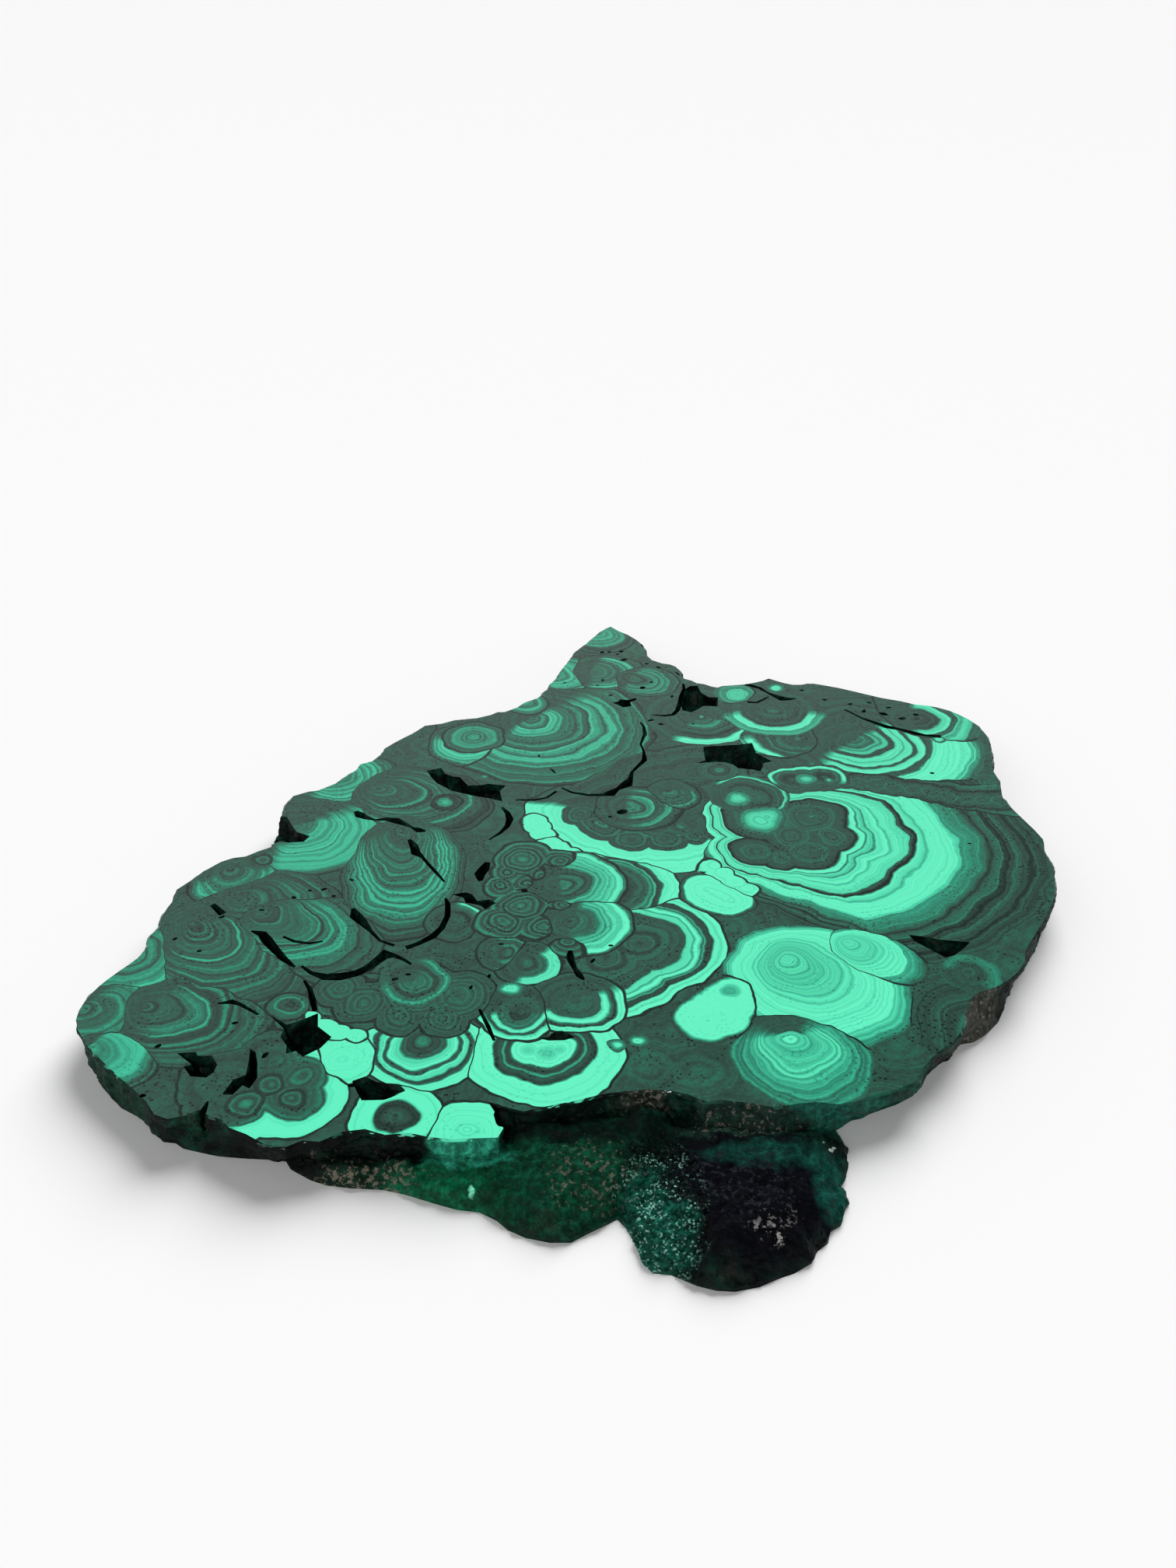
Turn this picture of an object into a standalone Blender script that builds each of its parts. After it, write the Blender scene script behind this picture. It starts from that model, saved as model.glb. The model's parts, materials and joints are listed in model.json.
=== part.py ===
# A polished malachite slab, resting on its sawn base with the polished face up.
#
# The real slab is one slice of a botryoidal malachite mass. Two saw cuts made it: the flat base and
# the flat face, which was then polished. Between the two cuts the outline is the mineral's own broken
# and knobbly skin. Along the front that skin runs out as a low apron with a round lobe, lower than the
# face. Hollows between the grown layers open in the face as pits and cracks.
#
# Metres, +Z up. X runs to the right and Y to the back, seen as the slab lies in front of the viewer.
# The origin is at the middle of the bounding box, on the base. Lengths below are in millimetres.

import bpy
import bmesh
import math
from mathutils import Matrix, Vector, geometry, noise

MM = 0.001

# Driving dimensions
THICKNESS = 8.0            # between the two sawn planes
STATION_SPACING = 3.2      # along the outline
POLISH_ROUND = 0.35        # softening of the edge of the polished face
PLAIN_UNDERCUT = 1.6       # how far the base lies inside the face along the back and the sides
SKIN_SPACING = 2.1         # between the points of the front skin
SKIN_RIM = 0.9             # height of the skin where it ends at the base
SKIN_STRAY = 0.5           # how far those points stray from an even grid
SKIN_CLEARANCE = 0.45      # least gap between a point and the skin's outline, as a share of the spacing
CUTTER_RISE = 1.0          # how far a cutter stands above the face

# The edge of the polished face along the right side, the back, the prong and the left side.
FACE_EDGE = [
    (93, -29), (96, -24), (98.5, -19), (100.2, -13), (101.3, -7), (101, -1.5), (102, 3.5),
    (100, 11), (98.2, 17), (97.3, 21.5), (98.6, 29), (98.2, 33.5), (99.1, 38), (100.9, 48),
    (100.8, 52), (100, 56.5), (98, 60.5), (94.2, 65), (91, 67), (88.5, 68), (85.5, 68.6),
    (82, 70.5), (77.3, 72.3), (72.7, 74.8), (66.4, 78.2), (60, 80.7), (58, 80.8), (56.4, 80.1),
    (54, 80.1), (51.8, 81.1), (50, 82.3), (47.7, 83.9), (45.9, 82.5), (43.6, 81.4), (40, 80.2),
    (34.2, 79.3), (33, 78.4), (31.8, 78.9), (29.5, 80.5), (27.7, 81), (26.4, 82.5), (24.5, 83.6),
    (23.8, 85), (23.6, 88.2), (22.5, 91), (20.9, 92.5), (18.6, 93.2), (15.9, 95.2), (14.5, 98.2),
    (14.3, 101), (13.6, 105), (11.8, 108.6), (9.5, 111.8), (6.8, 114.5), (4.3, 117.7), (2.3, 116),
    (0.5, 113.6), (-2.3, 107.7), (-4.5, 103.6), (-6.6, 100.5), (-7.3, 97.7), (-9.1, 92.3),
    (-10.5, 88.2), (-11.8, 83.6), (-13.4, 80), (-14, 77), (-15.9, 72.7), (-20, 69.5),
    (-21.8, 66.8), (-25, 64.3), (-26.8, 64.3), (-28.6, 62.7), (-32, 61), (-38, 59.8), (-41, 58),
    (-45.5, 56.8), (-48, 53), (-50.5, 50.2), (-54.5, 45), (-55.1, 42), (-57, 38.4), (-59.8, 36.9),
    (-60.4, 34), (-63.2, 30.2), (-64.5, 27.8), (-68, 24.7), (-70.5, 24), (-73.8, 22), (-75, 18),
    (-75, 13.5), (-76.2, 7), (-75, 3.5), (-75, 0), (-77.5, -1.6), (-79.8, -3.6), (-82.5, -4.2),
    (-85, -5.8), (-88, -9.5), (-90, -13), (-92.3, -16.5), (-92.2, -21), (-93, -26), (-92.6, -30),
    (-93.8, -33), (-93.3, -36), (-94.2, -40), (-97, -44.5), (-99.5, -49), (-101, -54),
    (-101, -59), (-98.5, -64),
]

# Along the front each station has a point on the face's edge and the point of the base under it.
FRONT_STATIONS = [
    ((-94.5, -68.8), (-95.3, -67.5)), ((-91, -72.2), (-92, -71.3)), ((-88, -75.2), (-89, -74.5)),
    ((-84.5, -78.3), (-85.5, -76.6)), ((-81.5, -81.3), (-82.5, -79)), ((-79.3, -84.4), (-80.3, -81.6)),
    ((-76.5, -85.6), (-79, -83)), ((-73.5, -84.8), (-76.7, -83.3)), ((-71.4, -83.4), (-75, -84.6)),
    ((-69.3, -84.9), (-71.5, -85.6)), ((-67, -85.7), (-68.5, -86.4)), ((-65.4, -87.6), (-66, -86.7)),
    ((-62, -89.2), (-63, -87)), ((-58.5, -91.5), (-59.7, -87.2)), ((-54.4, -92.2), (-56.6, -87.5)),
    ((-51.8, -90.7), (-53.4, -88.6)), ((-48.8, -91), (-50, -89.6)), ((-45, -88.6), (-45.6, -88.6)),
    ((-41.5, -88), (-41.5, -88.6)), ((-37.8, -89.4), (-37.8, -89.2)), ((-33.7, -88.9), (-33.7, -89)),
    ((-30.2, -89.9), (-30.4, -90)), ((-26.5, -90.4), (-27, -92)), ((-22, -90.2), (-22.5, -92)),
    ((-18, -90), (-18, -91)), ((-17, -87.5), (-15.8, -87.6)), ((-18.2, -84.5), (-16.6, -84.8)),
    ((-20, -81.3), (-18.4, -82.4)), ((-17.5, -82.6), (-16.8, -83.2)), ((-14, -83.8), (-13.8, -84.6)),
    ((-10.5, -82.7), (-10.4, -83.6)), ((-6.5, -81.6), (-6.4, -82.2)), ((-3, -80.5), (-3, -81)),
    ((0.5, -79.4), (0.5, -79.8)), ((4, -78.7), (4, -79)), ((8, -78.3), (8, -78.4)),
    ((12, -78.5), (12, -78.6)), ((15.5, -79.6), (15.3, -80)), ((18, -81.3), (18.6, -82.6)),
    ((22, -81), (23, -84.5)), ((26, -81.6), (27.5, -86)), ((30, -82.7), (31, -86.2)),
    ((34, -82), (34.5, -85.6)), ((38, -81.4), (38.5, -84)), ((42, -82), (42, -80.5)),
    ((46, -81), (45.5, -77.8)), ((50, -79.2), (50, -75.7)), ((54, -77.8), (54.5, -73.7)),
    ((57.6, -76), (58, -71.5)), ((58.6, -73.5), (60.3, -69)), ((61, -70.3), (61.8, -66)),
    ((64.3, -67), (63.8, -63.8)), ((66.3, -65.5), (66.3, -61.7)), ((68.3, -62.8), (68.5, -59.2)),
    ((69.8, -59.5), (70.3, -57.2)), ((70.8, -56.2), (73, -56.6)), ((72, -53.4), (76, -54.4)),
    ((74.5, -51.3), (79.3, -50.7)), ((78, -49.8), (81.3, -47)), ((81, -47.8), (82.6, -43)),
    ((84, -44.8), (84, -40.3)), ((86, -41.8), (86, -37.8)), ((87, -38.4), (88.3, -35)),
    ((90, -33.6), (90, -31.8)),
]

# The foot of the front skin on the base plane, from left to right, round the apron and the lobe.
SKIN_FOOT = [
    (-58, -87.3), (-56, -87.7), (-54.8, -89.6), (-51, -92), (-48, -93.2), (-44, -93.8),
    (-38, -94.2), (-34, -95.3), (-29, -97.2), (-25, -98.6), (-21, -99.2), (-18, -101),
    (-16, -103), (-13, -104.6), (-9, -105.6), (-5.4, -105.6), (-3, -104), (0, -102.2),
    (2.4, -100.7), (3.8, -102.6), (5.3, -106), (6.4, -110), (8, -111.8), (11, -112.2),
    (15, -114.3), (18, -115.2), (21, -115.4), (25, -114.5), (28.2, -112.9), (31, -111.8),
    (34, -109.8), (35.3, -107.4), (37.3, -105.7), (38, -103.4), (40, -102), (40.4, -99.6),
    (42, -97.6), (41.9, -95.3), (40.9, -94.2), (42.3, -92), (43.2, -89), (43.3, -85.5),
    (42.5, -82.5), (41.5, -79.5),
]

# The skin carries on under the slab to this line, where the two are one mass.
SKIN_ROOT = [
    (40, -77), (30, -76.5), (20, -75.5), (10, -74.5), (0, -75), (-10, -77), (-16, -78.5),
    (-23, -85.5), (-32, -85.5), (-45, -85), (-55, -86),
]

# Knobs of the front skin: centre x and y, half-widths along x and y, and height of the top.
SKIN_KNOBS = [
    (-7, -89, 19, 18, 5.3),       # broad apron in the middle
    (-9, -99, 12, 8, 3.6),        # its toe
    (-8, -85, 13, 3.6, 6.1),      # strip under the edge of the face
    (-24, -93, 9, 7.5, 5.4),      # smooth knob under the chipped half cell
    (-20.5, -96, 4.5, 4.5, 4.6),  # small knob beside it
    (-34, -92, 8, 4.6, 3.6),      # crust to the left
    (-45, -91, 9, 3.8, 3.3),
    (-53.5, -88.4, 6, 2.6, 2.6),
    (24, -97.5, 20, 18.5, 5.0),   # the lobe
    (10, -104.5, 7, 8.5, 3.8),    # its sparkling left flank
    (27, -87, 15, 4.5, 5.6),      # granular ridge below the chipped edge
    (38, -87, 6, 7, 4.2),
    (37.5, -96.5, 5, 4.5, 3.6),   # scallops round the lobe's rim
    (34, -104, 5, 5, 3.4),
    (27, -109, 5.5, 5, 3.3),
    (19, -111, 5.5, 4.5, 3.2),
    (7.6, -81.5, 5.2, 4.6, 6.7),  # crusted nodule in the hollow under the edge
]
RIM_RISE = 1.35            # how fast the skin rises from its rim, in mm for a root of a mm
SKIN_ROUGHNESS = 0.55      # height of the skin's small lumps
SKIN_GRAIN = 4.5           # size of those lumps

# The slab's side from the base up: height, share of the way from the foot to the face, outward bulge
# and roughness.
SIDE_LEVELS = [
    (0.0, 0.0, 0.0, 0.0),
    (1.2, 0.10, 0.10, 0.35),
    (3.4, 0.42, 0.20, 0.65),
    (5.8, 0.78, 0.20, 0.65),
    (THICKNESS - POLISH_ROUND, 1.0, 0.0, 0.15),
    (THICKNESS, 1.0, -POLISH_ROUND, 0.0),
]
SIDE_GRAIN = 5.0           # size of the lumps on that side

# Pits and cracks from the floor up: share of the full depth, and width as a share of the mouth.
PIT_LEVELS = [(1.0, 0.62), (0.62, 0.86), (0.0, 1.0)]
PIT_ROUGHNESS = 0.12       # how far a pit's wall strays, as a share of its width
PIT_GRAIN = 2.5
CRACK_LEVELS = [(1.0, 0.45), (0.5, 0.8), (0.0, 1.0)]
CUTTER_FLARE = 1.05        # width of a cutter's top above the face, as a share of the mouth

# Pits with a drawn mouth: depth, then the points of the mouth on the face.
PITS = {
    "star_pit": (5.6, [(26.8, 45.5), (31, 46), (36, 46.6), (39.5, 47.5), (40, 42.3), (43.6, 38.2),
                       (41.4, 37.3), (40.2, 33.2), (38.6, 34.1), (34.8, 34.8), (33.6, 36.6),
                       (31.8, 37.7), (29, 37.9), (24.6, 37.2), (26.8, 38.8), (26.8, 42.3)]),
    "long_pit": (5.2, [(-42.6, 33.6), (-39.1, 35), (-38, 32.3), (-36, 30.9), (-34.1, 30.5),
                       (-31.8, 26.6), (-28.6, 26.8), (-27, 27.4), (-22.6, 26.6), (-23.9, 24.1),
                       (-23.1, 19.4), (-26, 20.6), (-30, 21.8), (-35.5, 24.1), (-39.5, 27.7),
                       (-41.2, 30.6)]),
    "back_recess": (4.6, [(23.2, 76), (25.5, 79), (27.6, 79.2), (28.3, 75.2), (30.2, 72.4),
                          (32.7, 72.3), (32.2, 67.2), (28.5, 67.4), (25, 63.8), (22.6, 65),
                          (22.4, 70)]),
    "ear_pit": (3.0, [(4, 69.2), (5.8, 70.2), (6, 71.3), (8.2, 70.8), (10.4, 72), (10.6, 70.9),
                      (8.8, 69.6), (9.1, 67.4), (6.9, 66.6), (5.5, 68)]),
    "three_cornered_pit": (5.4, [(64, -32.6), (66.5, -33.1), (70, -34.2), (76.2, -35.1),
                                 (74.2, -37.4), (72, -39.4), (70, -40.2), (68.9, -39),
                                 (66.6, -36.6), (64.8, -34.8)]),
    "front_star_pit": (5.4, [(-63.8, -57.8), (-60, -60.5), (-57.8, -59.4), (-54.6, -57.2),
                             (-54, -61), (-50.9, -64), (-52.5, -67), (-55.4, -69.4), (-57, -67.8),
                             (-58.7, -68.6), (-59, -66.3), (-60.6, -64), (-60.4, -61.6)]),
    "hooked_pit": (4.4, [(-79, -68.4), (-75.6, -68.1), (-75, -69.1), (-72.3, -69.1), (-70.8, -71.5),
                         (-71, -73.5), (-72, -74.9), (-75, -74.6), (-76.9, -72), (-75.6, -71.4)]),
    "bent_pit": (4.0, [(-65.6, -67.2), (-64.4, -68.2), (-63.5, -71), (-62.7, -75), (-63.6, -77.7),
                       (-65, -76.9), (-66.3, -79.3), (-68.2, -79.2), (-67, -75.4), (-65, -74.2),
                       (-65.2, -70.5)]),
    "granular_pit": (2.8, [(-45.4, -75.8), (-43.2, -74.6), (-40.9, -76), (-36.5, -76.9),
                           (-35.4, -78.2), (-36.8, -79.5), (-39, -80.6), (-43, -80.7),
                           (-44.1, -78.6)]),
    "forked_pit": (3.6, [(-32, -18.4), (-29, -17.6), (-27.6, -18.4), (-26.4, -20.8),
                         (-23.8, -20.2), (-22.3, -21.5), (-24.5, -23.8), (-25.6, -22.4),
                         (-28.8, -21.4), (-29.5, -19.6)]),
    "crescent_pit": (2.4, [(-12, -64.2), (-10, -64), (-8.8, -62.3), (-7.4, -62.2), (-5, -64),
                           (-7, -64.9), (-10, -65)]),
    "left_pocket": (3.4, [(-79, 13), (-73.4, 12.6), (-71.6, 9), (-69.8, 6), (-66.6, 4.4),
                          (-67.6, 2), (-71, 1.6), (-73, 2.2), (-75.4, 0.4), (-79, 0.6)]),
}

# Cracks that follow a line: depth, then x, y and width of the opening along it.
CRACKS = {
    "left_crack": (3.6, [(-57.6, 15, 1.0), (-56.4, 13.4, 2.5), (-54.5, 12, 1.4), (-52.4, 11.2, 0.6),
                         (-50, 11.6, 1.4), (-47.5, 10.9, 2.4), (-45, 9.2, 1.2), (-43.5, 8, 0.7),
                         (-41.8, 6.8, 2.0), (-40.2, 6.4, 0.8)]),
    "left_arc": (3.0, [(-23, 16.7, 0.6), (-21.6, 14.3, 1.3), (-20.9, 11.5, 1.8), (-21.4, 8.5, 1.3),
                       (-22.8, 5.8, 0.9), (-25.3, 2.8, 0.4)]),
    "bowl_arc": (3.6, [(-9, 25.6, 0.5), (-6.5, 23.4, 0.8), (-2.5, 22.2, 1.0), (1, 22.3, 1.2),
                       (2.9, 22.9, 2.8), (4.6, 25, 1.2), (7, 27.3, 3.0), (7.8, 29.8, 1.4),
                       (8.3, 33, 0.8), (10, 36, 1.0), (11.6, 38.8, 1.4), (11.6, 43, 0.6),
                       (10.9, 46.8, 0.6), (11.6, 50, 0.8), (12.2, 52, 1.2), (12, 56, 0.8),
                       (11.2, 58.4, 0.5)]),
    "prong_crack": (3.2, [(23.7, 80.4, 0.6), (23.8, 77.5, 0.9), (22.8, 73.5, 1.1), (22.2, 69, 1.4),
                          (21.3, 65, 1.3), (20, 62.6, 1.2), (17.6, 62, 1.0), (14.4, 62.4, 0.4)]),
    "back_crack": (3.4, [(40.4, 79.9, 0.8), (42.5, 79.2, 1.4), (44.6, 77.8, 1.2), (46.5, 75, 0.8),
                         (48.3, 73.2, 1.6), (50, 71.6, 2.6), (52, 71.3, 1.4), (53.8, 71.8, 0.5)]),
    "back_branch": (2.4, [(40.5, 69.6, 1.1), (43, 69.4, 0.8), (44.8, 71, 0.7), (46.6, 72.8, 0.5)]),
    "slanting_crack": (3.8, [(-72.8, -31.3, 0.5), (-70.3, -32.3, 2.0), (-69, -34.3, 2.4),
                             (-66.8, -37.3, 2.0), (-64.5, -40.3, 1.6), (-61.6, -43.2, 0.7)]),
    "wide_arc": (3.8, [(-60.3, -42.8, 0.6), (-58, -45, 1.0), (-55, -46.3, 2.0), (-52, -46.2, 2.4),
                       (-49, -45.2, 2.0), (-46.8, -43.4, 2.0), (-45, -40.8, 2.2),
                       (-43.8, -39, 3.2), (-41.8, -39.6, 1.2), (-39.8, -40.9, 0.8),
                       (-38.2, -42.3, 0.6)]),
    "bowl_crack": (3.8, [(-52.7, -23.4, 0.8), (-51.8, -26, 2.6), (-50.2, -28, 2.2),
                         (-48, -31.2, 0.9), (-45.5, -34.6, 0.7), (-42.4, -36.2, 0.8)]),
    "bowl_crack_right": (3.6, [(-39.9, -37, 1.4), (-37.6, -35.6, 1.2), (-34.8, -33.2, 1.7),
                               (-33.2, -30.3, 1.4), (-32.3, -26, 1.3), (-32.6, -22, 1.2),
                               (-33.3, -19.7, 0.5)]),
    "dark_seam": (2.2, [(-43.6, 3, 0.9), (-42.3, 0.5, 2.0), (-41.5, -2.5, 2.2), (-39.8, -4.2, 0.9),
                        (-38.5, -6.5, 0.8), (-36.3, -10, 0.9), (-34, -13.8, 0.5)]),
    "short_pit": (3.6, [(-25, -6.2, 1.2), (-25.6, -8.5, 2.4), (-26.5, -10.8, 2.6),
                        (-26.2, -13.4, 1.0)]),
    "middle_crack": (2.8, [(-6.2, -37.8, 0.8), (-6.3, -40, 1.8), (-5.3, -43.5, 1.0),
                           (-4.3, -45.8, 1.5), (-3.4, -47.2, 0.5)]),
    "front_crack": (3.0, [(-59, -47.4, 0.5), (-57.4, -50, 1.0), (-56.4, -53, 1.3),
                          (-55.3, -56.6, 1.0)]),
    "tip_crack": (2.2, [(-74.6, -54.4, 0.4), (-72, -53.8, 1.4), (-70, -54.7, 0.9),
                        (-66, -57.6, 0.6)]),
    "edge_crack": (4.5, [(-71.2, -86, 1.8), (-70.6, -83.4, 1.3), (-70.3, -80.9, 0.4)]),
    "corner_crevice": (3.4, [(66, 65.5, 0.6), (70, 60.5, 0.9), (75.5, 56, 1.8), (79, 54.5, 1.2),
                             (82.5, 52.4, 1.6), (85, 51.3, 1.0), (88.6, 50.8, 1.6)]),
    "low_crack": (2.2, [(-65.8, -33.2, 0.6), (-63.2, -34.8, 0.8), (-60, -35.5, 0.8),
                        (-57.3, -34.8, 0.5)]),
    "beaded_arc": (1.8, [(-20, 20, 0.5), (-15.5, 20, 0.9), (-12.5, 21, 0.6), (-10.2, 24, 0.8)]),
    "fan_pit": (2.0, [(-83, -22, 1.2), (-80, -25.5, 1.8)]),
    "seam_crack": (2.2, [(-23.6, -56, 0.6), (-21.6, -61, 0.9), (-20.2, -65, 0.6)]),
}

# Hollows under the front edge of the face: centre and half-widths of an ellipsoid, turned about Z.
HOLLOWS = {
    "left_hollow": ((-39.5, -90.6, 5.3), (8.5, 2.9, 1.9), 0),
    "left_end_hollow": ((-74, -86, 4.6), (4.6, 2.2, 2.4), 10),
    "notch_hollow": ((-17.6, -85, 6.0), (2.6, 4.2, 2.6), 15),
    "arch_hollow_left": ((3.6, -79.6, 6.2), (4.4, 1.9, 1.6), 5),
    "arch_hollow_right": ((14, -81, 6.3), (4.0, 2.1, 1.7), -25),
}

FACE_COLOUR = (0.08, 0.45, 0.27, 1.0)


def clear_scene():
    """Remove every object that the new file starts with."""
    for old in list(bpy.data.objects):
        bpy.data.objects.remove(old, do_unlink=True)


def curve_point(before, start, end, after, t):
    """A point on the Catmull-Rom curve from start to end."""
    a = 2 * start
    b = end - before
    c = 2 * before - 5 * start + 4 * end - after
    d = 3 * start - before - 3 * end + after
    return 0.5 * (a + b * t + c * t * t + d * t * t * t)


def smooth_loop(points, spacing):
    """Resample a closed line of vectors, of any dimension, along a smooth curve through them."""
    count = len(points)
    result = []
    for index in range(count):
        before = points[index - 1]
        start = points[index]
        end = points[(index + 1) % count]
        after = points[(index + 2) % count]
        steps = max(1, round((end - start).xy.length / spacing))
        for step in range(steps):
            result.append(curve_point(before, start, end, after, step / steps))
    return result


def outward(loop, index):
    """The outward direction at a point of a loop that runs anticlockwise."""
    run = (loop[(index + 1) % len(loop)] - loop[index - 1]).xy
    if run.length == 0:
        return Vector((0, 0))
    return Vector((run.y, -run.x)).normalized()


def small_noise(x, y, z, size, seed):
    """Smooth noise between about -1 and 1 that changes over the given size in mm."""
    return noise.noise(Vector((x / size + seed, y / size - seed, z / size + 0.37 * seed)))


def outline_stations():
    """Stations round the slab as 4D vectors: face x, face y, base x, base y."""
    plain = [Vector(point) for point in FACE_EDGE]
    corners = []
    for index, point in enumerate(plain):
        ahead = plain[min(index + 1, len(plain) - 1)]
        behind = plain[max(index - 1, 0)]
        run = (ahead - behind).normalized()
        inward = Vector((-run.y, run.x))
        undercut = PLAIN_UNDERCUT * (1 + 0.6 * small_noise(point.x, point.y, 0, 14, 3.1))
        foot = point + inward * undercut
        corners.append(Vector((point.x, point.y, foot.x, foot.y)))
    for face, foot in FRONT_STATIONS:
        corners.append(Vector((face[0], face[1], foot[0], foot[1])))
    return smooth_loop(corners, STATION_SPACING)


def ring_mesh(name, rings):
    """A closed body through rings of equal length, from the lowest ring to the highest."""
    shape = bmesh.new()
    rows = [[shape.verts.new(Vector(point) * MM) for point in ring] for ring in rings]
    count = len(rows[0])
    for lower, upper in zip(rows, rows[1:]):
        for index in range(count):
            following = (index + 1) % count
            shape.faces.new((lower[index], lower[following], upper[following], upper[index]))
    shape.faces.new(list(reversed(rows[0])))
    shape.faces.new(rows[-1])
    bmesh.ops.recalc_face_normals(shape, faces=shape.faces)
    mesh = bpy.data.meshes.new(name)
    shape.to_mesh(mesh)
    shape.free()
    return mesh


def slab_mesh():
    """The slab between its two sawn planes, with a rough side that bulges a little."""
    stations = outline_stations()
    rings = []
    for height, share, bulge, roughness in SIDE_LEVELS:
        ring = []
        for index, station in enumerate(stations):
            face = Vector((station[0], station[1]))
            foot = Vector((station[2], station[3]))
            away = outward(stations, index)
            lump = small_noise(face.x, face.y, height, SIDE_GRAIN, 1.7)
            point = foot.lerp(face, share) + away * (bulge + roughness * lump)
            ring.append((point.x, point.y, height))
        rings.append(ring)
    return ring_mesh("slab", rings)


def distance_to_line(point, line):
    """The shortest distance from a point to an open line of points."""
    best = float("inf")
    for start, end in zip(line, line[1:]):
        near, share = geometry.intersect_point_line(point, start, end)
        if share <= 0:
            near = start
        elif share >= 1:
            near = end
        best = min(best, (Vector(near[:2]) - Vector(point[:2])).length)
    return best


def skin_height(x, y, foot_line):
    """Height of the front skin: its knobs, held down towards the rim, and small lumps."""
    height = SKIN_RIM
    for centre_x, centre_y, half_x, half_y, top in SKIN_KNOBS:
        reach = ((x - centre_x) / half_x) ** 2 + ((y - centre_y) / half_y) ** 2
        if reach < 1:
            height = max(height, SKIN_RIM + (top - SKIN_RIM) * math.sqrt(1 - reach) ** 0.8)
    from_rim = distance_to_line(Vector((x, y, 0)), foot_line)
    height = min(height, SKIN_RIM + RIM_RISE * math.sqrt(from_rim))
    fade = min(1.0, from_rim / 3)
    lumps = small_noise(x, y, 0, SKIN_GRAIN, 5.3) + 0.5 * small_noise(x, y, 0, 2.2, 8.9)
    return min(height + SKIN_ROUGHNESS * fade * lumps, THICKNESS - 0.6)


def skin_mesh():
    """The natural skin in front of the slab: an apron and a lobe, flat underneath."""
    foot = [Vector((x, y)) for x, y in SKIN_FOOT]
    foot_line = [Vector((x, y, 0)) for x, y in SKIN_FOOT]
    root = [Vector((x, y)) for x, y in SKIN_ROOT]
    outline = foot + root
    points = list(outline)
    closed_line = foot_line + [Vector((x, y, 0)) for x, y in SKIN_ROOT] + [foot_line[0]]
    low_x = min(point.x for point in outline)
    high_x = max(point.x for point in outline)
    low_y = min(point.y for point in outline)
    high_y = max(point.y for point in outline)
    row = 0
    y = low_y + SKIN_SPACING
    while y < high_y:
        x = low_x + SKIN_SPACING * (0.5 if row % 2 else 1.0)
        while x < high_x:
            spot = Vector((x, y, 0))
            spot.x += SKIN_STRAY * small_noise(x, y, 0, 1.9, 11.3)
            spot.y += SKIN_STRAY * small_noise(x, y, 0, 1.9, 17.9)
            gap = distance_to_line(spot, closed_line)
            if inside(spot, outline) and gap > SKIN_CLEARANCE * SKIN_SPACING:
                points.append(Vector((spot.x, spot.y)))
            x += SKIN_SPACING
        y += SKIN_SPACING * math.sqrt(3) / 2
        row += 1
    border = list(range(len(outline)))
    spots, _, triangles, _, _, _ = geometry.delaunay_2d_cdt(points, [], [border], 1, 1e-6)
    shape = bmesh.new()
    corners = []
    for spot in spots:
        height = skin_height(spot.x, spot.y, foot_line)
        corners.append(shape.verts.new(Vector((spot.x, spot.y, height)) * MM))
    for triangle in triangles:
        shape.faces.new([corners[index] for index in triangle])
    rim = [edge for edge in shape.edges if edge.is_boundary]
    skirt = bmesh.ops.extrude_edge_only(shape, edges=rim)["geom"]
    for item in skirt:
        if isinstance(item, bmesh.types.BMVert):
            item.co.z = 0
    lower_rim = [edge for edge in shape.edges if edge.is_boundary]
    bmesh.ops.edgeloop_fill(shape, edges=lower_rim)
    bmesh.ops.recalc_face_normals(shape, faces=shape.faces)
    mesh = bpy.data.meshes.new("front_skin")
    shape.to_mesh(mesh)
    shape.free()
    return mesh


def inside(spot, outline):
    """Whether a spot lies inside a closed outline."""
    hit = False
    for index, corner in enumerate(outline):
        last = outline[index - 1]
        if (corner.y > spot.y) != (last.y > spot.y):
            crossing = corner.x + (spot.y - corner.y) * (last.x - corner.x) / (last.y - corner.y)
            if spot.x < crossing:
                hit = not hit
    return hit


def pit_mesh(name, depth, mouth):
    """A cutter for a pit: the drawn mouth, narrowing and roughening towards its floor."""
    centre_x = sum(x for x, _ in mouth) / len(mouth)
    centre_y = sum(y for _, y in mouth) / len(mouth)
    rings = []
    for share, width in PIT_LEVELS:
        drop = share * depth
        ring = []
        for x, y in mouth:
            rough = PIT_ROUGHNESS * small_noise(x, y, -drop, PIT_GRAIN, 4.4) if drop > 0 else 0.0
            reach = width + rough
            ring.append((centre_x + reach * (x - centre_x), centre_y + reach * (y - centre_y),
                         THICKNESS - drop + 0.5 * rough * depth))
        rings.append(ring)
    rings.append([(centre_x + CUTTER_FLARE * (x - centre_x), centre_y + CUTTER_FLARE * (y - centre_y),
                   THICKNESS + CUTTER_RISE) for x, y in mouth])
    return ring_mesh(name, rings)


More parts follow.
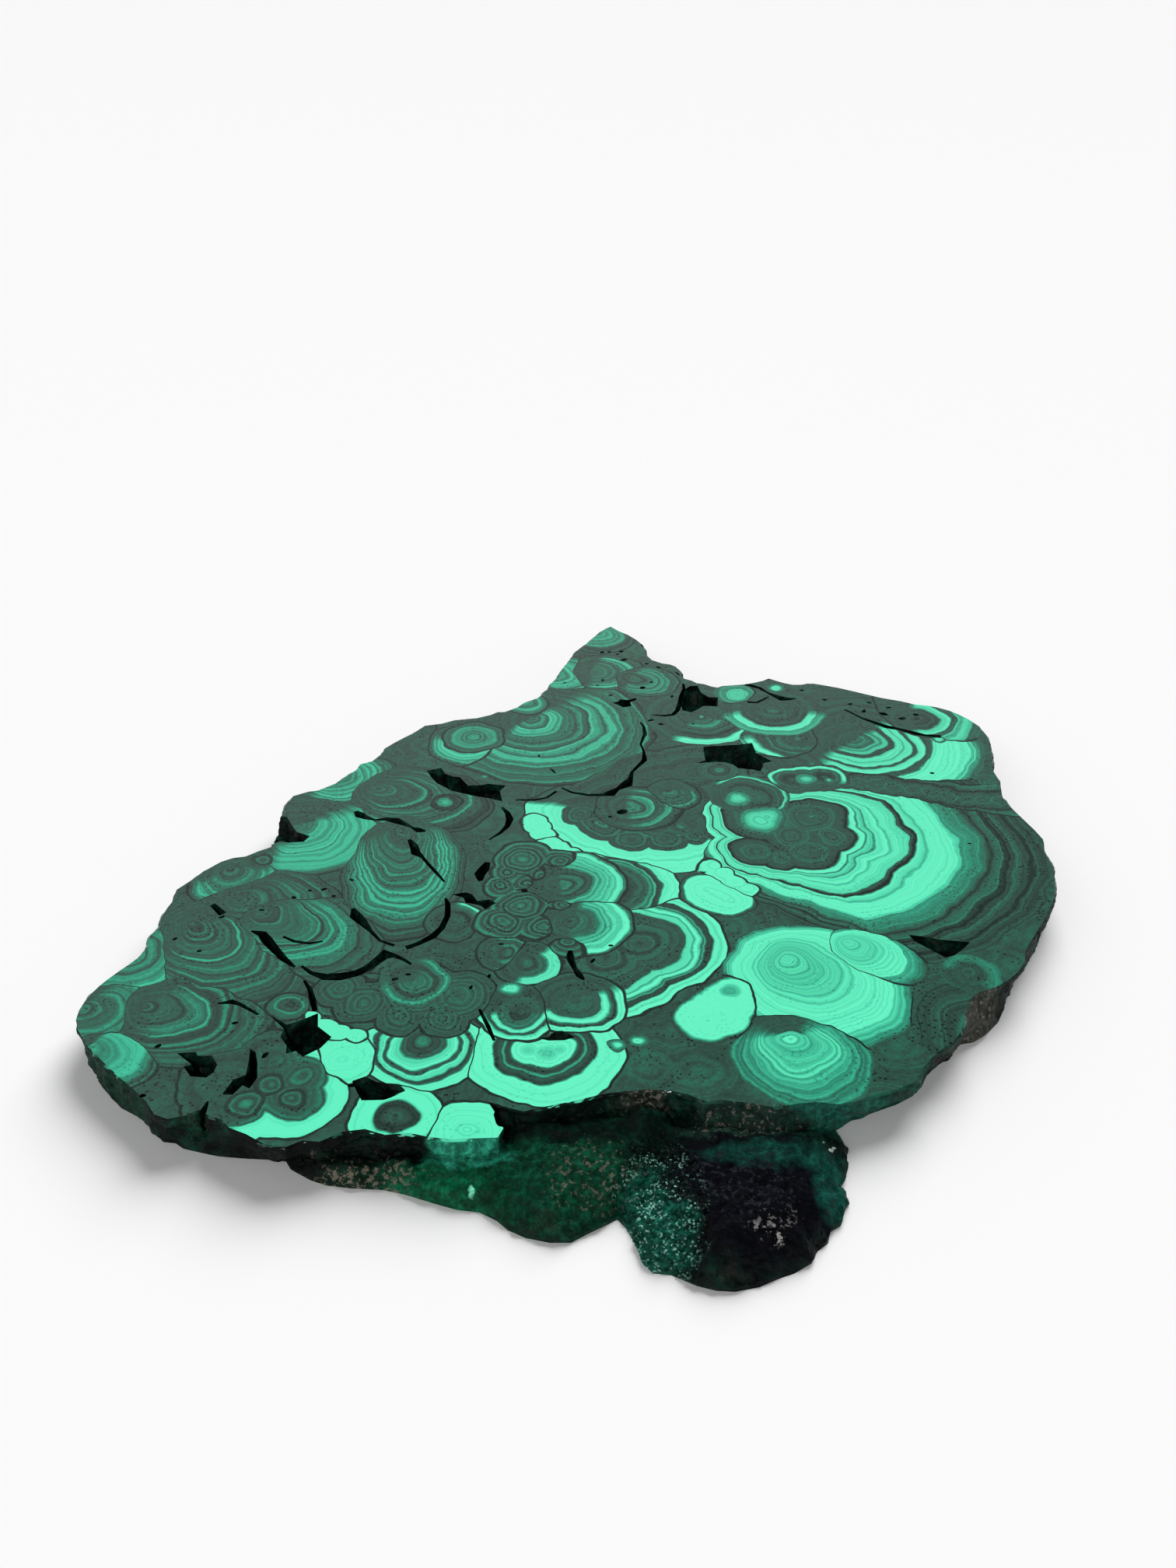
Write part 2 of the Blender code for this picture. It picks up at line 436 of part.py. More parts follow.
def crack_mesh(name, depth, line):
    """A cutter for a crack: a strip of changing width along a line, narrower as it goes down."""
    centres = [Vector((x, y)) for x, y, _ in line]
    widths = [width for _, _, width in line]
    levels = [(THICKNESS - share * depth, reach) for share, reach in CRACK_LEVELS]
    levels.append((THICKNESS + CUTTER_RISE, CUTTER_FLARE))
    rings = []
    for height, share in levels:
        left = []
        right = []
        for index, centre in enumerate(centres):
            ahead = centres[min(index + 1, len(centres) - 1)]
            behind = centres[max(index - 1, 0)]
            run = (ahead - behind).normalized()
            across = Vector((-run.y, run.x)) * (0.5 * widths[index] * share)
            left.append((centre.x + across.x, centre.y + across.y, height))
            right.append((centre.x - across.x, centre.y - across.y, height))
        rings.append(right + list(reversed(left)))
    return ring_mesh(name, rings)


def hollow_mesh(name, centre, halves, turn):
    """A cutter for a hollow under the edge of the face: a stretched round body."""
    shape = bmesh.new()
    bmesh.ops.create_icosphere(shape, subdivisions=2, radius=1.0)
    stretch = Matrix.Diagonal((*halves, 1.0))
    place = Matrix.Translation(centre) @ Matrix.Rotation(math.radians(turn), 4, "Z") @ stretch
    bmesh.ops.transform(shape, matrix=Matrix.Scale(MM, 4) @ place, verts=shape.verts)
    mesh = bpy.data.meshes.new(name)
    shape.to_mesh(mesh)
    shape.free()
    return mesh


def add_object(name, mesh):
    """Link a new object with this mesh to the scene."""
    item = bpy.data.objects.new(name, mesh)
    bpy.context.scene.collection.objects.link(item)
    return item


def add_guide(name, mesh):
    """An object that only shapes another one, so it is drawn as wires and isn't part of the slab."""
    guide = add_object(name, mesh)
    guide.hide_render = True
    guide.display_type = "WIRE"
    return guide


def combine(target, guide, operation):
    """Put a Boolean modifier with this guide on the target."""
    step = target.modifiers.new(guide.name, "BOOLEAN")
    step.operation = operation
    step.solver = "EXACT"
    step.object = guide


def malachite_material():
    """Polished malachite, in the mean colour of the face."""
    material = bpy.data.materials.new("polished_malachite")
    material.use_nodes = True
    surface = material.node_tree.nodes["Principled BSDF"]
    surface.inputs["Base Color"].default_value = FACE_COLOUR
    surface.inputs["Roughness"].default_value = 0.12
    surface.inputs["Metallic"].default_value = 0.0
    return material


def box_centre(mesh):
    """The middle of a mesh's bounding box in plan, in metres."""
    xs = [vertex.co.x for vertex in mesh.vertices]
    ys = [vertex.co.y for vertex in mesh.vertices]
    return Vector(((min(xs) + max(xs)) / 2, (min(ys) + max(ys)) / 2, 0))


def build_slab():
    """Join the slab and its front skin, cut the hollows, and settle the origin."""
    slab = add_object("malachite_slab", slab_mesh())
    combine(slab, add_guide("front_skin", skin_mesh()), "UNION")
    for name, (centre, halves, turn) in HOLLOWS.items():
        combine(slab, add_guide(name, hollow_mesh(name, centre, halves, turn)), "DIFFERENCE")
    for name, (depth, mouth) in PITS.items():
        combine(slab, add_guide(name, pit_mesh(name, depth, mouth)), "DIFFERENCE")
    for name, (depth, line) in CRACKS.items():
        combine(slab, add_guide(name, crack_mesh(name, depth, line)), "DIFFERENCE")
    graph = bpy.context.evaluated_depsgraph_get()
    solid = bpy.data.meshes.new_from_object(slab.evaluated_get(graph))
    slab.modifiers.clear()
    slab.data = solid
    solid.transform(Matrix.Translation(-box_centre(solid)))
    solid.materials.clear()
    solid.materials.append(malachite_material())
    solid.shade_smooth()
    solid.set_sharp_from_angle(angle=math.radians(35))
    return slab


clear_scene()
build_slab()
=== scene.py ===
# %% [markdown]
# # A polished malachite slab
#
# This lesson dresses one part: a flat slice of malachite that lies on its sawn base. Its upper face is
# cut flat and polished, and shows the rings in which the mineral grew. Its sides are the mineral's own
# broken skin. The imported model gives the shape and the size, and the lesson adds the fine relief and
# the finishes.

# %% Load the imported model
import json
import math

import bmesh
import bpy
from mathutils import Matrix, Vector, noise

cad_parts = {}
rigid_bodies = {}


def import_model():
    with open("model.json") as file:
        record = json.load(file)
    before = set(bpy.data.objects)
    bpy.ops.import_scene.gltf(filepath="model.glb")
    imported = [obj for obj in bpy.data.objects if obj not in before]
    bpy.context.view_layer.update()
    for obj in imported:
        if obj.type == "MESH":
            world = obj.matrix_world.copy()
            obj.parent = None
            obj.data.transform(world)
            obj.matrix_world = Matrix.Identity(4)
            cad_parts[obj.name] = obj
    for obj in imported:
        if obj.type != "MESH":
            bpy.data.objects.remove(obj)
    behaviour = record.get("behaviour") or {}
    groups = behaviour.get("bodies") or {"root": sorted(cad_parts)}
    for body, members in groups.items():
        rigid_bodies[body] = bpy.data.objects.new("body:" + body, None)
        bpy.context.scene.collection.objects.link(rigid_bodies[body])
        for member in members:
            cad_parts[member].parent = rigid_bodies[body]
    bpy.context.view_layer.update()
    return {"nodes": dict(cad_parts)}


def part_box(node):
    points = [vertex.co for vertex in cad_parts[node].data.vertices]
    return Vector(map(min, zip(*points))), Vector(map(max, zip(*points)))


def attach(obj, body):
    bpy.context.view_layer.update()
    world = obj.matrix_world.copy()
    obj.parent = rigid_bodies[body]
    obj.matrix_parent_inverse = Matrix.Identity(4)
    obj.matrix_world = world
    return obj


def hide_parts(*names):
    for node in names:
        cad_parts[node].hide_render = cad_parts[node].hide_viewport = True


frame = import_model()
MM = 0.001    # a millimetre in Blender's metres
low_corner, high_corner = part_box("malachite_slab")
TOP = high_corner.z / MM    # height of the polished face, in mm

# %% [markdown]
# ## A plan of the slab
#
# Everything that lies on the slab is placed by one plan: millimetres to the right and to the back,
# with its zero near the middle of the face. The model's own zero is the middle of its box, a little
# beside that, so one small shift leads from the plan to the model.

# %% From the plan to the model
PLAN_SHIFT = Vector((0.407, 1.152, 0))    # in mm


def on_plan(x, y, z=0.0):
    """The point of the model, in metres, that a plan point in mm stands for."""
    return (Vector((x, y, z)) - PLAN_SHIFT) * MM


def only(piece):
    """Select this piece alone and make it the active one."""
    bpy.ops.object.select_all(action="DESELECT")
    piece.select_set(True)
    bpy.context.view_layer.objects.active = piece


print("the plan's zero lies at", tuple(on_plan(0, 0)), "in the model")

# %% [markdown]
# ## The slab's body
#
# The real slab is one grown piece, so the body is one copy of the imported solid. That solid arrives as
# loose triangles, and they are merged here into one skin before anything is cut or raised on it.

# %% Copy the solid and merge its triangles
MERGE_GAP = 0.002    # in mm

solid = frame["nodes"]["malachite_slab"]
slab = bpy.data.objects.new("malachite_slab_dressed", solid.data.copy())
bpy.context.scene.collection.objects.link(slab)
only(slab)
bpy.ops.object.mode_set(mode="EDIT")
bpy.ops.mesh.select_all(action="SELECT")
bpy.ops.mesh.remove_doubles(threshold=MERGE_GAP * MM)
bpy.ops.mesh.customdata_custom_splitnormals_clear()
bpy.ops.object.mode_set(mode="OBJECT")
print("triangles in the body:", len(slab.data.polygons))

# %% [markdown]
# ## Pinholes in the face
#
# Gaps between the grown layers that are too small for the solid show in the polish as pinholes. Each
# gets a rough little cutter with its own size and turn, and all cutters are joined and cut out of the
# face at once with a Boolean modifier.

# %% Cut the pinholes
PLUG_SWELL = 0.35    # how far a plug is out of round, as a share of its radius
PLUG_RISE = 0.15     # how far its middle stands above the face, as a share of its depth
PINHOLES = [
    # plan x, y, length and width in mm, turn in degrees, depth in mm
    (1.5, 100, 1.5, 1.2, 20, 1.2), (3.5, 100.3, 1.2, 1.0, 0, 1.0), (7, 100.6, 1.8, 1.2, 40, 1.2),
    (5.9, 98.8, 1.2, 0.9, 0, 1.0), (7.7, 95.2, 2.4, 1.4, 15, 1.4), (1.5, 82.5, 1.2, 0.9, 70, 1.0),
    (0, 79.5, 1.0, 0.8, 0, 0.8), (-9, 81, 1.0, 0.7, 30, 0.8), (13.2, 104.5, 2.4, 0.7, 110, 1.2),
    (14.1, 92.7, 1.2, 1.0, 0, 1.0), (17.3, 90.4, 1.6, 1.0, -40, 1.2), (22.5, 86.5, 2.6, 0.7, 120, 1.2),
    (15, 81.3, 1.2, 0.9, 0, 1.0), (12.5, 78, 1.8, 1.4, 30, 1.4), (20.3, 73, 1.4, 1.0, 70, 1.2),
    (56, 76.5, 1.4, 1.0, 0, 1.2), (73.3, 69.3, 1.6, 1.0, -30, 1.2), (-83, -66.5, 1.6, 0.9, 40, 1.2),
    (-82.3, -79.5, 1.2, 0.9, 0, 1.0), (-54.5, -13, 1.4, 0.8, -40, 1.0), (-82, -38, 1.2, 0.8, 20, 1.0),
    (-15, 41, 1.4, 0.6, 80, 1.0), (-11.3, 33.6, 3.2, 0.6, -60, 1.2), (82.5, 32.5, 1.2, 1.0, 0, 1.2),
    (-16.4, -17, 1.5, 1.5, 45, 1.5), (84.5, 1.3, 1.0, 0.6, 0, 0.8), (5.5, 14.7, 3.0, 2.2, 30, 1.0),
    (2.6, 12.6, 1.2, 1.0, 0, 0.8), (76, 63, 2.6, 1.6, -30, 1.6), (80.5, 60.5, 2.2, 1.4, 20, 1.5),
    (71, 64.5, 2.0, 1.2, 60, 1.4), (84.5, 62.5, 1.8, 1.2, -10, 1.4), (78, 66.5, 1.5, 1.0, 0, 1.2),
    (68, 68.5, 1.6, 1.0, 40, 1.2), (61.5, 71, 1.4, 0.9, -20, 1.2), (-80, -26.5, 1.4, 0.8, 30, 1.0),
    (-72, -24, 1.3, 0.8, 10, 1.0), (-66, -19.5, 1.4, 0.9, -20, 1.0), (-60, -16.5, 1.5, 0.9, 35, 1.0),
    (-57.5, -19, 1.1, 0.8, 0, 0.9), (-63, -17, 1.0, 0.7, 0, 0.9), (-77, 1.5, 1.4, 1.0, 0, 1.0),
    (-41, -47, 1.6, 0.9, 30, 1.2), (-38.5, -45.5, 1.2, 0.8, 0, 1.0), (-45.3, -76.9, 1.6, 1.0, 0, 1.2),
    (-88, -34, 1.2, 0.8, 50, 1.0), (-70, -60, 1.4, 0.8, 20, 1.0), (-62.5, -69, 1.8, 1.0, 60, 1.3),
    (-22.3, -46, 1.5, 0.7, 80, 1.0), (-25.7, -49.5, 1.4, 0.7, 70, 1.0), (-20.5, -35.7, 1.2, 0.8, 0, 1.0),
    (2.1, -36.2, 1.2, 0.8, 0, 0.8), (-1.6, -41.2, 1.8, 0.7, 60, 1.1), (14, 59.5, 2.0, 1.0, 30, 1.2),
    (16.6, 57.4, 1.6, 0.9, -20, 1.2), (3.6, 73.5, 1.3, 0.9, 0, 1.0), (25, 57.5, 1.0, 0.7, 0, 0.9),
]


def add_pinhole_cutter(x, y, length, width, turn, depth, number):
    """A rough oval plug at its place on the plan, standing in the face."""
    bpy.ops.mesh.primitive_ico_sphere_add(subdivisions=2, radius=1.0)
    plug = bpy.context.active_object
    plug.name = f"pinhole_cutter_{number}"
    for vertex in plug.data.vertices:
        swell = noise.noise(vertex.co * 1.4 + Vector((7.3 * number, 0, 0)))
        vertex.co = vertex.co * (1 + PLUG_SWELL * swell)
    plug.scale = (0.5 * length * MM, 0.5 * width * MM, depth * MM)
    plug.rotation_euler.z = math.radians(turn)
    plug.location = on_plan(x, y, TOP + PLUG_RISE * depth)
    return plug


cutters = []
for number, hole in enumerate(PINHOLES):
    cutters.append(add_pinhole_cutter(*hole, number))
bpy.ops.object.select_all(action="DESELECT")
for plug in cutters:
    plug.select_set(True)
bpy.context.view_layer.objects.active = cutters[0]
bpy.ops.object.join()
pinhole_cutter = bpy.context.active_object

only(slab)
cut = slab.modifiers.new("pinholes", "BOOLEAN")
cut.operation = "DIFFERENCE"
cut.solver = "EXACT"
cut.object = pinhole_cutter
bpy.ops.object.modifier_apply(modifier=cut.name)
bpy.data.objects.remove(pinhole_cutter, do_unlink=True)
print("pinholes cut:", len(PINHOLES), "faces now:", len(slab.data.polygons))

# %% [markdown]
# ## Fine relief on the natural skin
#
# The sides, the front skin and the walls of the pits are broken, grainy stone, while the face and the
# base are true planes. Only the rough faces get more points: each pass halves the edges that are still
# long, so the grid ends about as fine as a grain of the crust, and the two planes stay as they are.

# %% Refine the rough faces
PLANE_GAP = 0.01                        # a point this near a plane, in mm, lies in it
GRAIN_EDGE = 0.8                        # longest edge on the skin, in mm
DRUSE_EDGE = 0.5                        # longest edge in the druse
HALVINGS = 4
DRUSE_MIDDLE = Vector((9.5, -101.5))    # on the plan
DRUSE_REACH = Vector((8, 16))           # half-widths


def is_rough(face):
    """Whether a face lies in neither of the two sawn planes."""
    heights = [corner.co.z / MM for corner in face.verts]
    return min(heights) < TOP - PLANE_GAP and max(heights) > PLANE_GAP


def near_druse(point):
    """Whether a point of the model lies in the sparkling patch on the lobe's left flank."""
    spot = point / MM + PLAN_SHIFT
    reach = Vector(((spot.x - DRUSE_MIDDLE.x) / DRUSE_REACH.x, (spot.y - DRUSE_MIDDLE.y) / DRUSE_REACH.y))
    return reach.length < 1


only(slab)
bpy.ops.object.mode_set(mode="EDIT")
bpy.ops.mesh.select_mode(type="EDGE")
for halving in range(HALVINGS):
    bpy.ops.mesh.select_all(action="DESELECT")
    mesh = bmesh.from_edit_mesh(slab.data)
    for edge in mesh.edges:
        middle = (edge.verts[0].co + edge.verts[1].co) / 2
        limit = DRUSE_EDGE if near_druse(middle) else GRAIN_EDGE
        if edge.calc_length() / MM > limit and any(is_rough(face) for face in edge.link_faces):
            edge.select = True
    bmesh.update_edit_mesh(slab.data)
    bpy.ops.mesh.subdivide(number_cuts=1)
    bpy.ops.mesh.select_all(action="SELECT")
    bpy.ops.mesh.quads_convert_to_tris(quad_method="SHORTEST_DIAGONAL", ngon_method="BEAUTY")
bpy.ops.object.mode_set(mode="OBJECT")
print("faces after refining:", len(slab.data.polygons))

# %% [markdown]
# A vertex group says how far each point may move. It is nothing on the two planes and rises just
# inside the side, so the edge of the polish stays crisp. The druse has a group of its own.

# %% Weigh the points
FULL_WEIGHT = 0.9    # how far from either plane the points move freely, in mm

skin_group = slab.vertex_groups.new(name="skin")
druse_group = slab.vertex_groups.new(name="druse")
moving = 0
for vertex in slab.data.vertices:
    height = vertex.co.z / MM
    weight = max(0.0, min(1.0, (TOP - height) / FULL_WEIGHT, height / FULL_WEIGHT))
    if weight > 0:
        moving += 1
        skin_group.add([vertex.index], weight, "REPLACE")
        if near_druse(vertex.co):
            druse_group.add([vertex.index], weight, "REPLACE")
print("points that may move:", moving)

# %% [markdown]
# Four Displace modifiers raise the relief: slow swells, soft lumps, sharp grains between them, and the
# druse's tiny crystals. Each reads a procedural texture, and each is applied before the next. Whatever
# would stand out past the two planes is pressed back into them.

# %% Raise swells, lumps, grains and crystals
CREASE_ANGLE = 38    # edges that bend more than this, in degrees, stay sharp


def raise_relief(name, kind, size, height, group, **settings):
    """Displace the points of a group by a procedural texture: size and height are in mm."""
    pattern = bpy.data.textures.new(name, kind)
    pattern.noise_scale = size * MM
    for key, value in settings.items():
        setattr(pattern, key, value)
    only(slab)
    relief = slab.modifiers.new(name, "DISPLACE")
    relief.texture = pattern
    relief.texture_coords = "LOCAL"
    relief.strength = height * MM
    relief.mid_level = 0.5
    relief.vertex_group = group
    bpy.ops.object.modifier_apply(modifier=relief.name)


raise_relief("swells", "CLOUDS", 7.0, 1.6, "skin", noise_depth=1)
raise_relief("lumps", "CLOUDS", 2.4, 1.3, "skin", noise_depth=3)
raise_relief("grains", "VORONOI", 1.1, -0.45, "skin", distance_metric="DISTANCE")
raise_relief("crystals", "VORONOI", 0.8, -0.7, "druse", distance_metric="MANHATTAN")
for vertex in slab.data.vertices:
    vertex.co.z = min(max(vertex.co.z, low_corner.z), high_corner.z)
only(slab)
bpy.ops.object.shade_smooth_by_angle(angle=math.radians(CREASE_ANGLE))
print("the dressed slab has", len(slab.data.polygons), "triangles")

# %% [markdown]
# Smooth shading rolls over every edge that isn't sharp, and would ripple the mirror of a flat face. The
# polish and the sawn base end in crisp edges, so their borders are marked sharp.

# %% Mark the borders of the two planes
def edit_faces(test):
    """Go into edit mode with only those faces of the slab selected that pass a test."""
    only(slab)
    bpy.ops.object.mode_set(mode="EDIT")
    bpy.ops.mesh.select_mode(type="FACE")
    bpy.ops.mesh.select_all(action="DESELECT")
    mesh = bmesh.from_edit_mesh(slab.data)
    for face in mesh.faces:
        face.select = test(face)
    bmesh.update_edit_mesh(slab.data)


edit_faces(lambda face: not is_rough(face))
bpy.ops.mesh.region_to_loop()
bpy.ops.mesh.mark_sharp()
bpy.ops.object.mode_set(mode="OBJECT")
print("sharp edges:", sum(edge.use_edge_sharp for edge in slab.data.edges))

# %% [markdown]
# ## The three kinds of surface
#
# The polished face, the natural skin with the pits, and the sawn base are finished differently on the
# real slab. They become three material slots of the one body, and faces are sorted by where they lie.

# %% Sort the faces
POLISHED, SKIN, SAWN = 0, 1, 2
EDGE_ROUND = 0.36     # depth of the softened border of the polish, in mm
POLISH_TILT = 0.75    # least upward part of a polished face's normal

slab.data.materials.clear()
for face in slab.data.polygons:
    heights = [slab.data.vertices[index].co.z / MM for index in face.vertices]
    if min(heights) > TOP - EDGE_ROUND and face.normal.z > POLISH_TILT:
        face.material_index = POLISHED
    elif max(heights) < PLANE_GAP:
        face.material_index = SAWN
    else:
        face.material_index = SKIN
print("faces of the polish:", sum(face.material_index == POLISHED for face in slab.data.polygons))

# %% [markdown]
# ## A map of the surface
#
# The map named OFBake lays the finishes out on one square. The polished face carries the fine bands, so
# most of the square is its plan. The rough skin is unwrapped into a strip beside it, and the base,
# which has little detail, gets the strip above.

# %% Lay out the map
FACE_SHARE = 0.78    # of the map's width
STRIP_GAP = 0.008

while slab.data.uv_layers:
    slab.data.uv_layers.remove(slab.data.uv_layers[0])
slab.data.uv_layers.new(name="OFBake")
edit_faces(lambda face: face.material_index == SKIN)
bpy.ops.uv.smart_project(angle_limit=math.radians(66), island_margin=0.002)
bpy.ops.object.mode_set(mode="OBJECT")

chart = slab.data.uv_layers["OFBake"]
width = high_corner.x - low_corner.x
length = high_corner.y - low_corner.y
face_height = FACE_SHARE * length / width
skin_start = FACE_SHARE + STRIP_GAP
base_start = face_height + STRIP_GAP
for face in slab.data.polygons:
    for loop in face.loop_indices:
        spot = slab.data.vertices[slab.data.loops[loop].vertex_index].co
        across = (spot.x - low_corner.x) / width
        along = (spot.y - low_corner.y) / length
        old = chart.data[loop].uv
        if face.material_index == POLISHED:
            place = (across * FACE_SHARE, along * face_height)
        elif face.material_index == SAWN:
            place = (along * FACE_SHARE, base_start + across * (1 - base_start))
        else:
            place = (skin_start + old.x * (1 - skin_start), old.y)
        chart.data[loop].uv = place
print("the face takes", round(FACE_SHARE * face_height * 100), "percent of the map")

# %% [markdown]
# ## A way to write finishes
#
# A finish is a small sum worked out at each point of the surface. Blender writes it as nodes. One class
# wraps a node's output, so that ordinary Python arithmetic adds the Math nodes, and one method makes
# any other node from its settings and its inputs.

# %% Sums that add their own nodes
class Field:
    """A value that changes over the surface: one output of one node."""

    def __init__(self, sheet, socket):
        self.sheet = sheet
        self.socket = socket

    def math(self, operation, *values):
        return self.sheet.node("ShaderNodeMath", {"operation": operation}, dict(enumerate(values)))

    def __add__(self, other):
        return self.math("ADD", self, other)

    def __sub__(self, other):
        return self.math("SUBTRACT", self, other)

    def __rsub__(self, other):
        return self.math("SUBTRACT", other, self)

    def __mul__(self, other):
        return self.math("MULTIPLY", self, other)

    def __lt__(self, other):
        return self.math("LESS_THAN", self, other)

    __radd__ = __add__
    __rmul__ = __mul__

    def least(self, other):
        return self.math("MINIMUM", self, other)

    def most(self, other):
        return self.math("MAXIMUM", self, other)

    def times_plus(self, factor, extra):
        return self.math("MULTIPLY_ADD", self, factor, extra)

    def ramp(self, stops):
        """Look the value up in a row of (position, tone or colour) stops."""
        return self.sheet.node("ShaderNodeValToRGB", {"stops": stops}, {0: self})

    def step(self, start, end):
        """Rise from 0 to 1 between two values."""
        return self.sheet.node("ShaderNodeMapRange", {"interpolation_type": "SMOOTHSTEP"},
                               {"Value": self, "From Min": start, "From Max": end})


class Sheet:
    """A sheet of nodes that is filled by sums."""

    def __init__(self, tree):
        self.tree = tree
        self.nodes = tree.nodes
        self.links = tree.links

    def node(self, kind, settings=None, values=None, output=0):
        made = self.nodes.new(kind)
        for key, value in (settings or {}).items():
            if key == "stops":
                self.set_stops(made.color_ramp, value)
            else:
                setattr(made, key, value)
        self.fill(made, values or {})
        return Field(self, made.outputs[output])

    def fill(self, made, values):
        """Link or set the inputs of a node."""
        for key, value in values.items():
            if isinstance(value, Field):
                self.links.new(value.socket, made.inputs[key])
            else:
                made.inputs[key].default_value = value

    def set_stops(self, ramp, stops):
        for number, (position, tone) in enumerate(stops):
            if number < 2:
                stop = ramp.elements[number]
                stop.position = position
            else:
                stop = ramp.elements.new(position)
            colour = tone if isinstance(tone, tuple) else (tone, tone, tone)
            stop.color = (*colour, 1.0)

    def vector(self, operation, *values, output=0):
        return self.node("ShaderNodeVectorMath", {"operation": operation}, dict(enumerate(values)),
                         output)

    # A Mix node has sockets of every kind: 2 and 3 take numbers, 6 and 7 colours
    def mix(self, factor, first, second):
        """Between two numbers."""
        return self.node("ShaderNodeMix", {"data_type": "FLOAT"}, {0: factor, 2: first, 3: second})

    def mix_colour(self, factor, first, second, blend="MIX"):
        """Between two colours."""
        whole = [(*value, 1.0) if isinstance(value, tuple) else value for value in (first, second)]
        return self.node("ShaderNodeMix", {"data_type": "RGBA", "blend_type": blend},
                         {0: factor, 6: whole[0], 7: whole[1]}, 2)

    def plan(self):
        """Where a point lies on the plan, in mm."""
        where = self.node("ShaderNodeTexCoord", output="Object")
        return self.vector("MULTIPLY_ADD", where, (1 / MM, 1 / MM, 1 / MM), tuple(PLAN_SHIFT))

    def cloud(self, place, size, detail, output="Fac", roughness=0.5):
        """Soft noise whose lumps are about this many mm wide."""
        return self.node("ShaderNodeTexNoise", {"noise_dimensions": "3D"},
                         {"Vector": place, "Scale": 1 / size, "Detail": detail, "Roughness": roughness},
                         output)

    def lines(self, value, to_mm, detail, roughness=0.5):
        """Noise along one value in mm, which draws about this many lines to a mm."""
        return self.node("ShaderNodeTexNoise", {"noise_dimensions": "1D"},
                         {"W": value, "Scale": to_mm, "Detail": detail, "Roughness": roughness})

    def waver(self, place, size, detail, reach):
        """How far soft noise pushes a place: its waves are about this many mm wide."""
        push = self.vector("SUBTRACT", self.cloud(place, size, detail, "Color"), (0.5, 0.5, 0.5))
        return self.vector("MULTIPLY", push, reach)

    def cells(self, place, size, dimensions="3D", output="Distance"):
        """Distance within cells that are about this many mm wide."""
        return self.node("ShaderNodeTexVoronoi", {"voronoi_dimensions": dimensions},
                         {"Vector": place, "Scale": 1 / size}, output)

    def use(self, group, values):
        """Put a group on the sheet as one node, and return its outputs by name."""
        made = self.nodes.new("ShaderNodeGroup")
        made.node_tree = group.tree
        self.fill(made, values)
        return {socket.name: Field(self, socket) for socket in made.outputs}


class Group(Sheet):
    """A sheet with named inputs and outputs of its own."""

    def __init__(self, name, inputs, outputs):
        super().__init__(bpy.data.node_groups.new(name, "ShaderNodeTree"))
        for key, kind in inputs.items():
            self.tree.interface.new_socket(key, in_out="INPUT", socket_type=kind)
        for key, kind in outputs.items():
            self.tree.interface.new_socket(key, in_out="OUTPUT", socket_type=kind)
        self.start = self.nodes.new("NodeGroupInput")
        self.end = self.nodes.new("NodeGroupOutput")

    def given(self, key):
        return Field(self, self.start.outputs[key])

    def give(self, key, value):
        self.links.new(value.socket, self.end.inputs[key])


class Finish(Sheet):
    """A material: the sheet of nodes in front of one shader."""

    def __init__(self, name):
        self.material = bpy.data.materials.new(name)
        self.material.use_nodes = True
        super().__init__(self.material.node_tree)
        self.shader = self.nodes["Principled BSDF"]

    def feed(self, socket, value):
        """Link or set one input of the shader."""
        self.fill(self.shader, {socket: value})

    def bump(self, height, strength, distance):
        """Tilt the shading by a height in the given distance, in mm."""
        tilt = self.node("ShaderNodeBump", None,
                         {"Height": height, "Strength": strength, "Distance": distance * MM})
        self.feed("Normal", tilt)
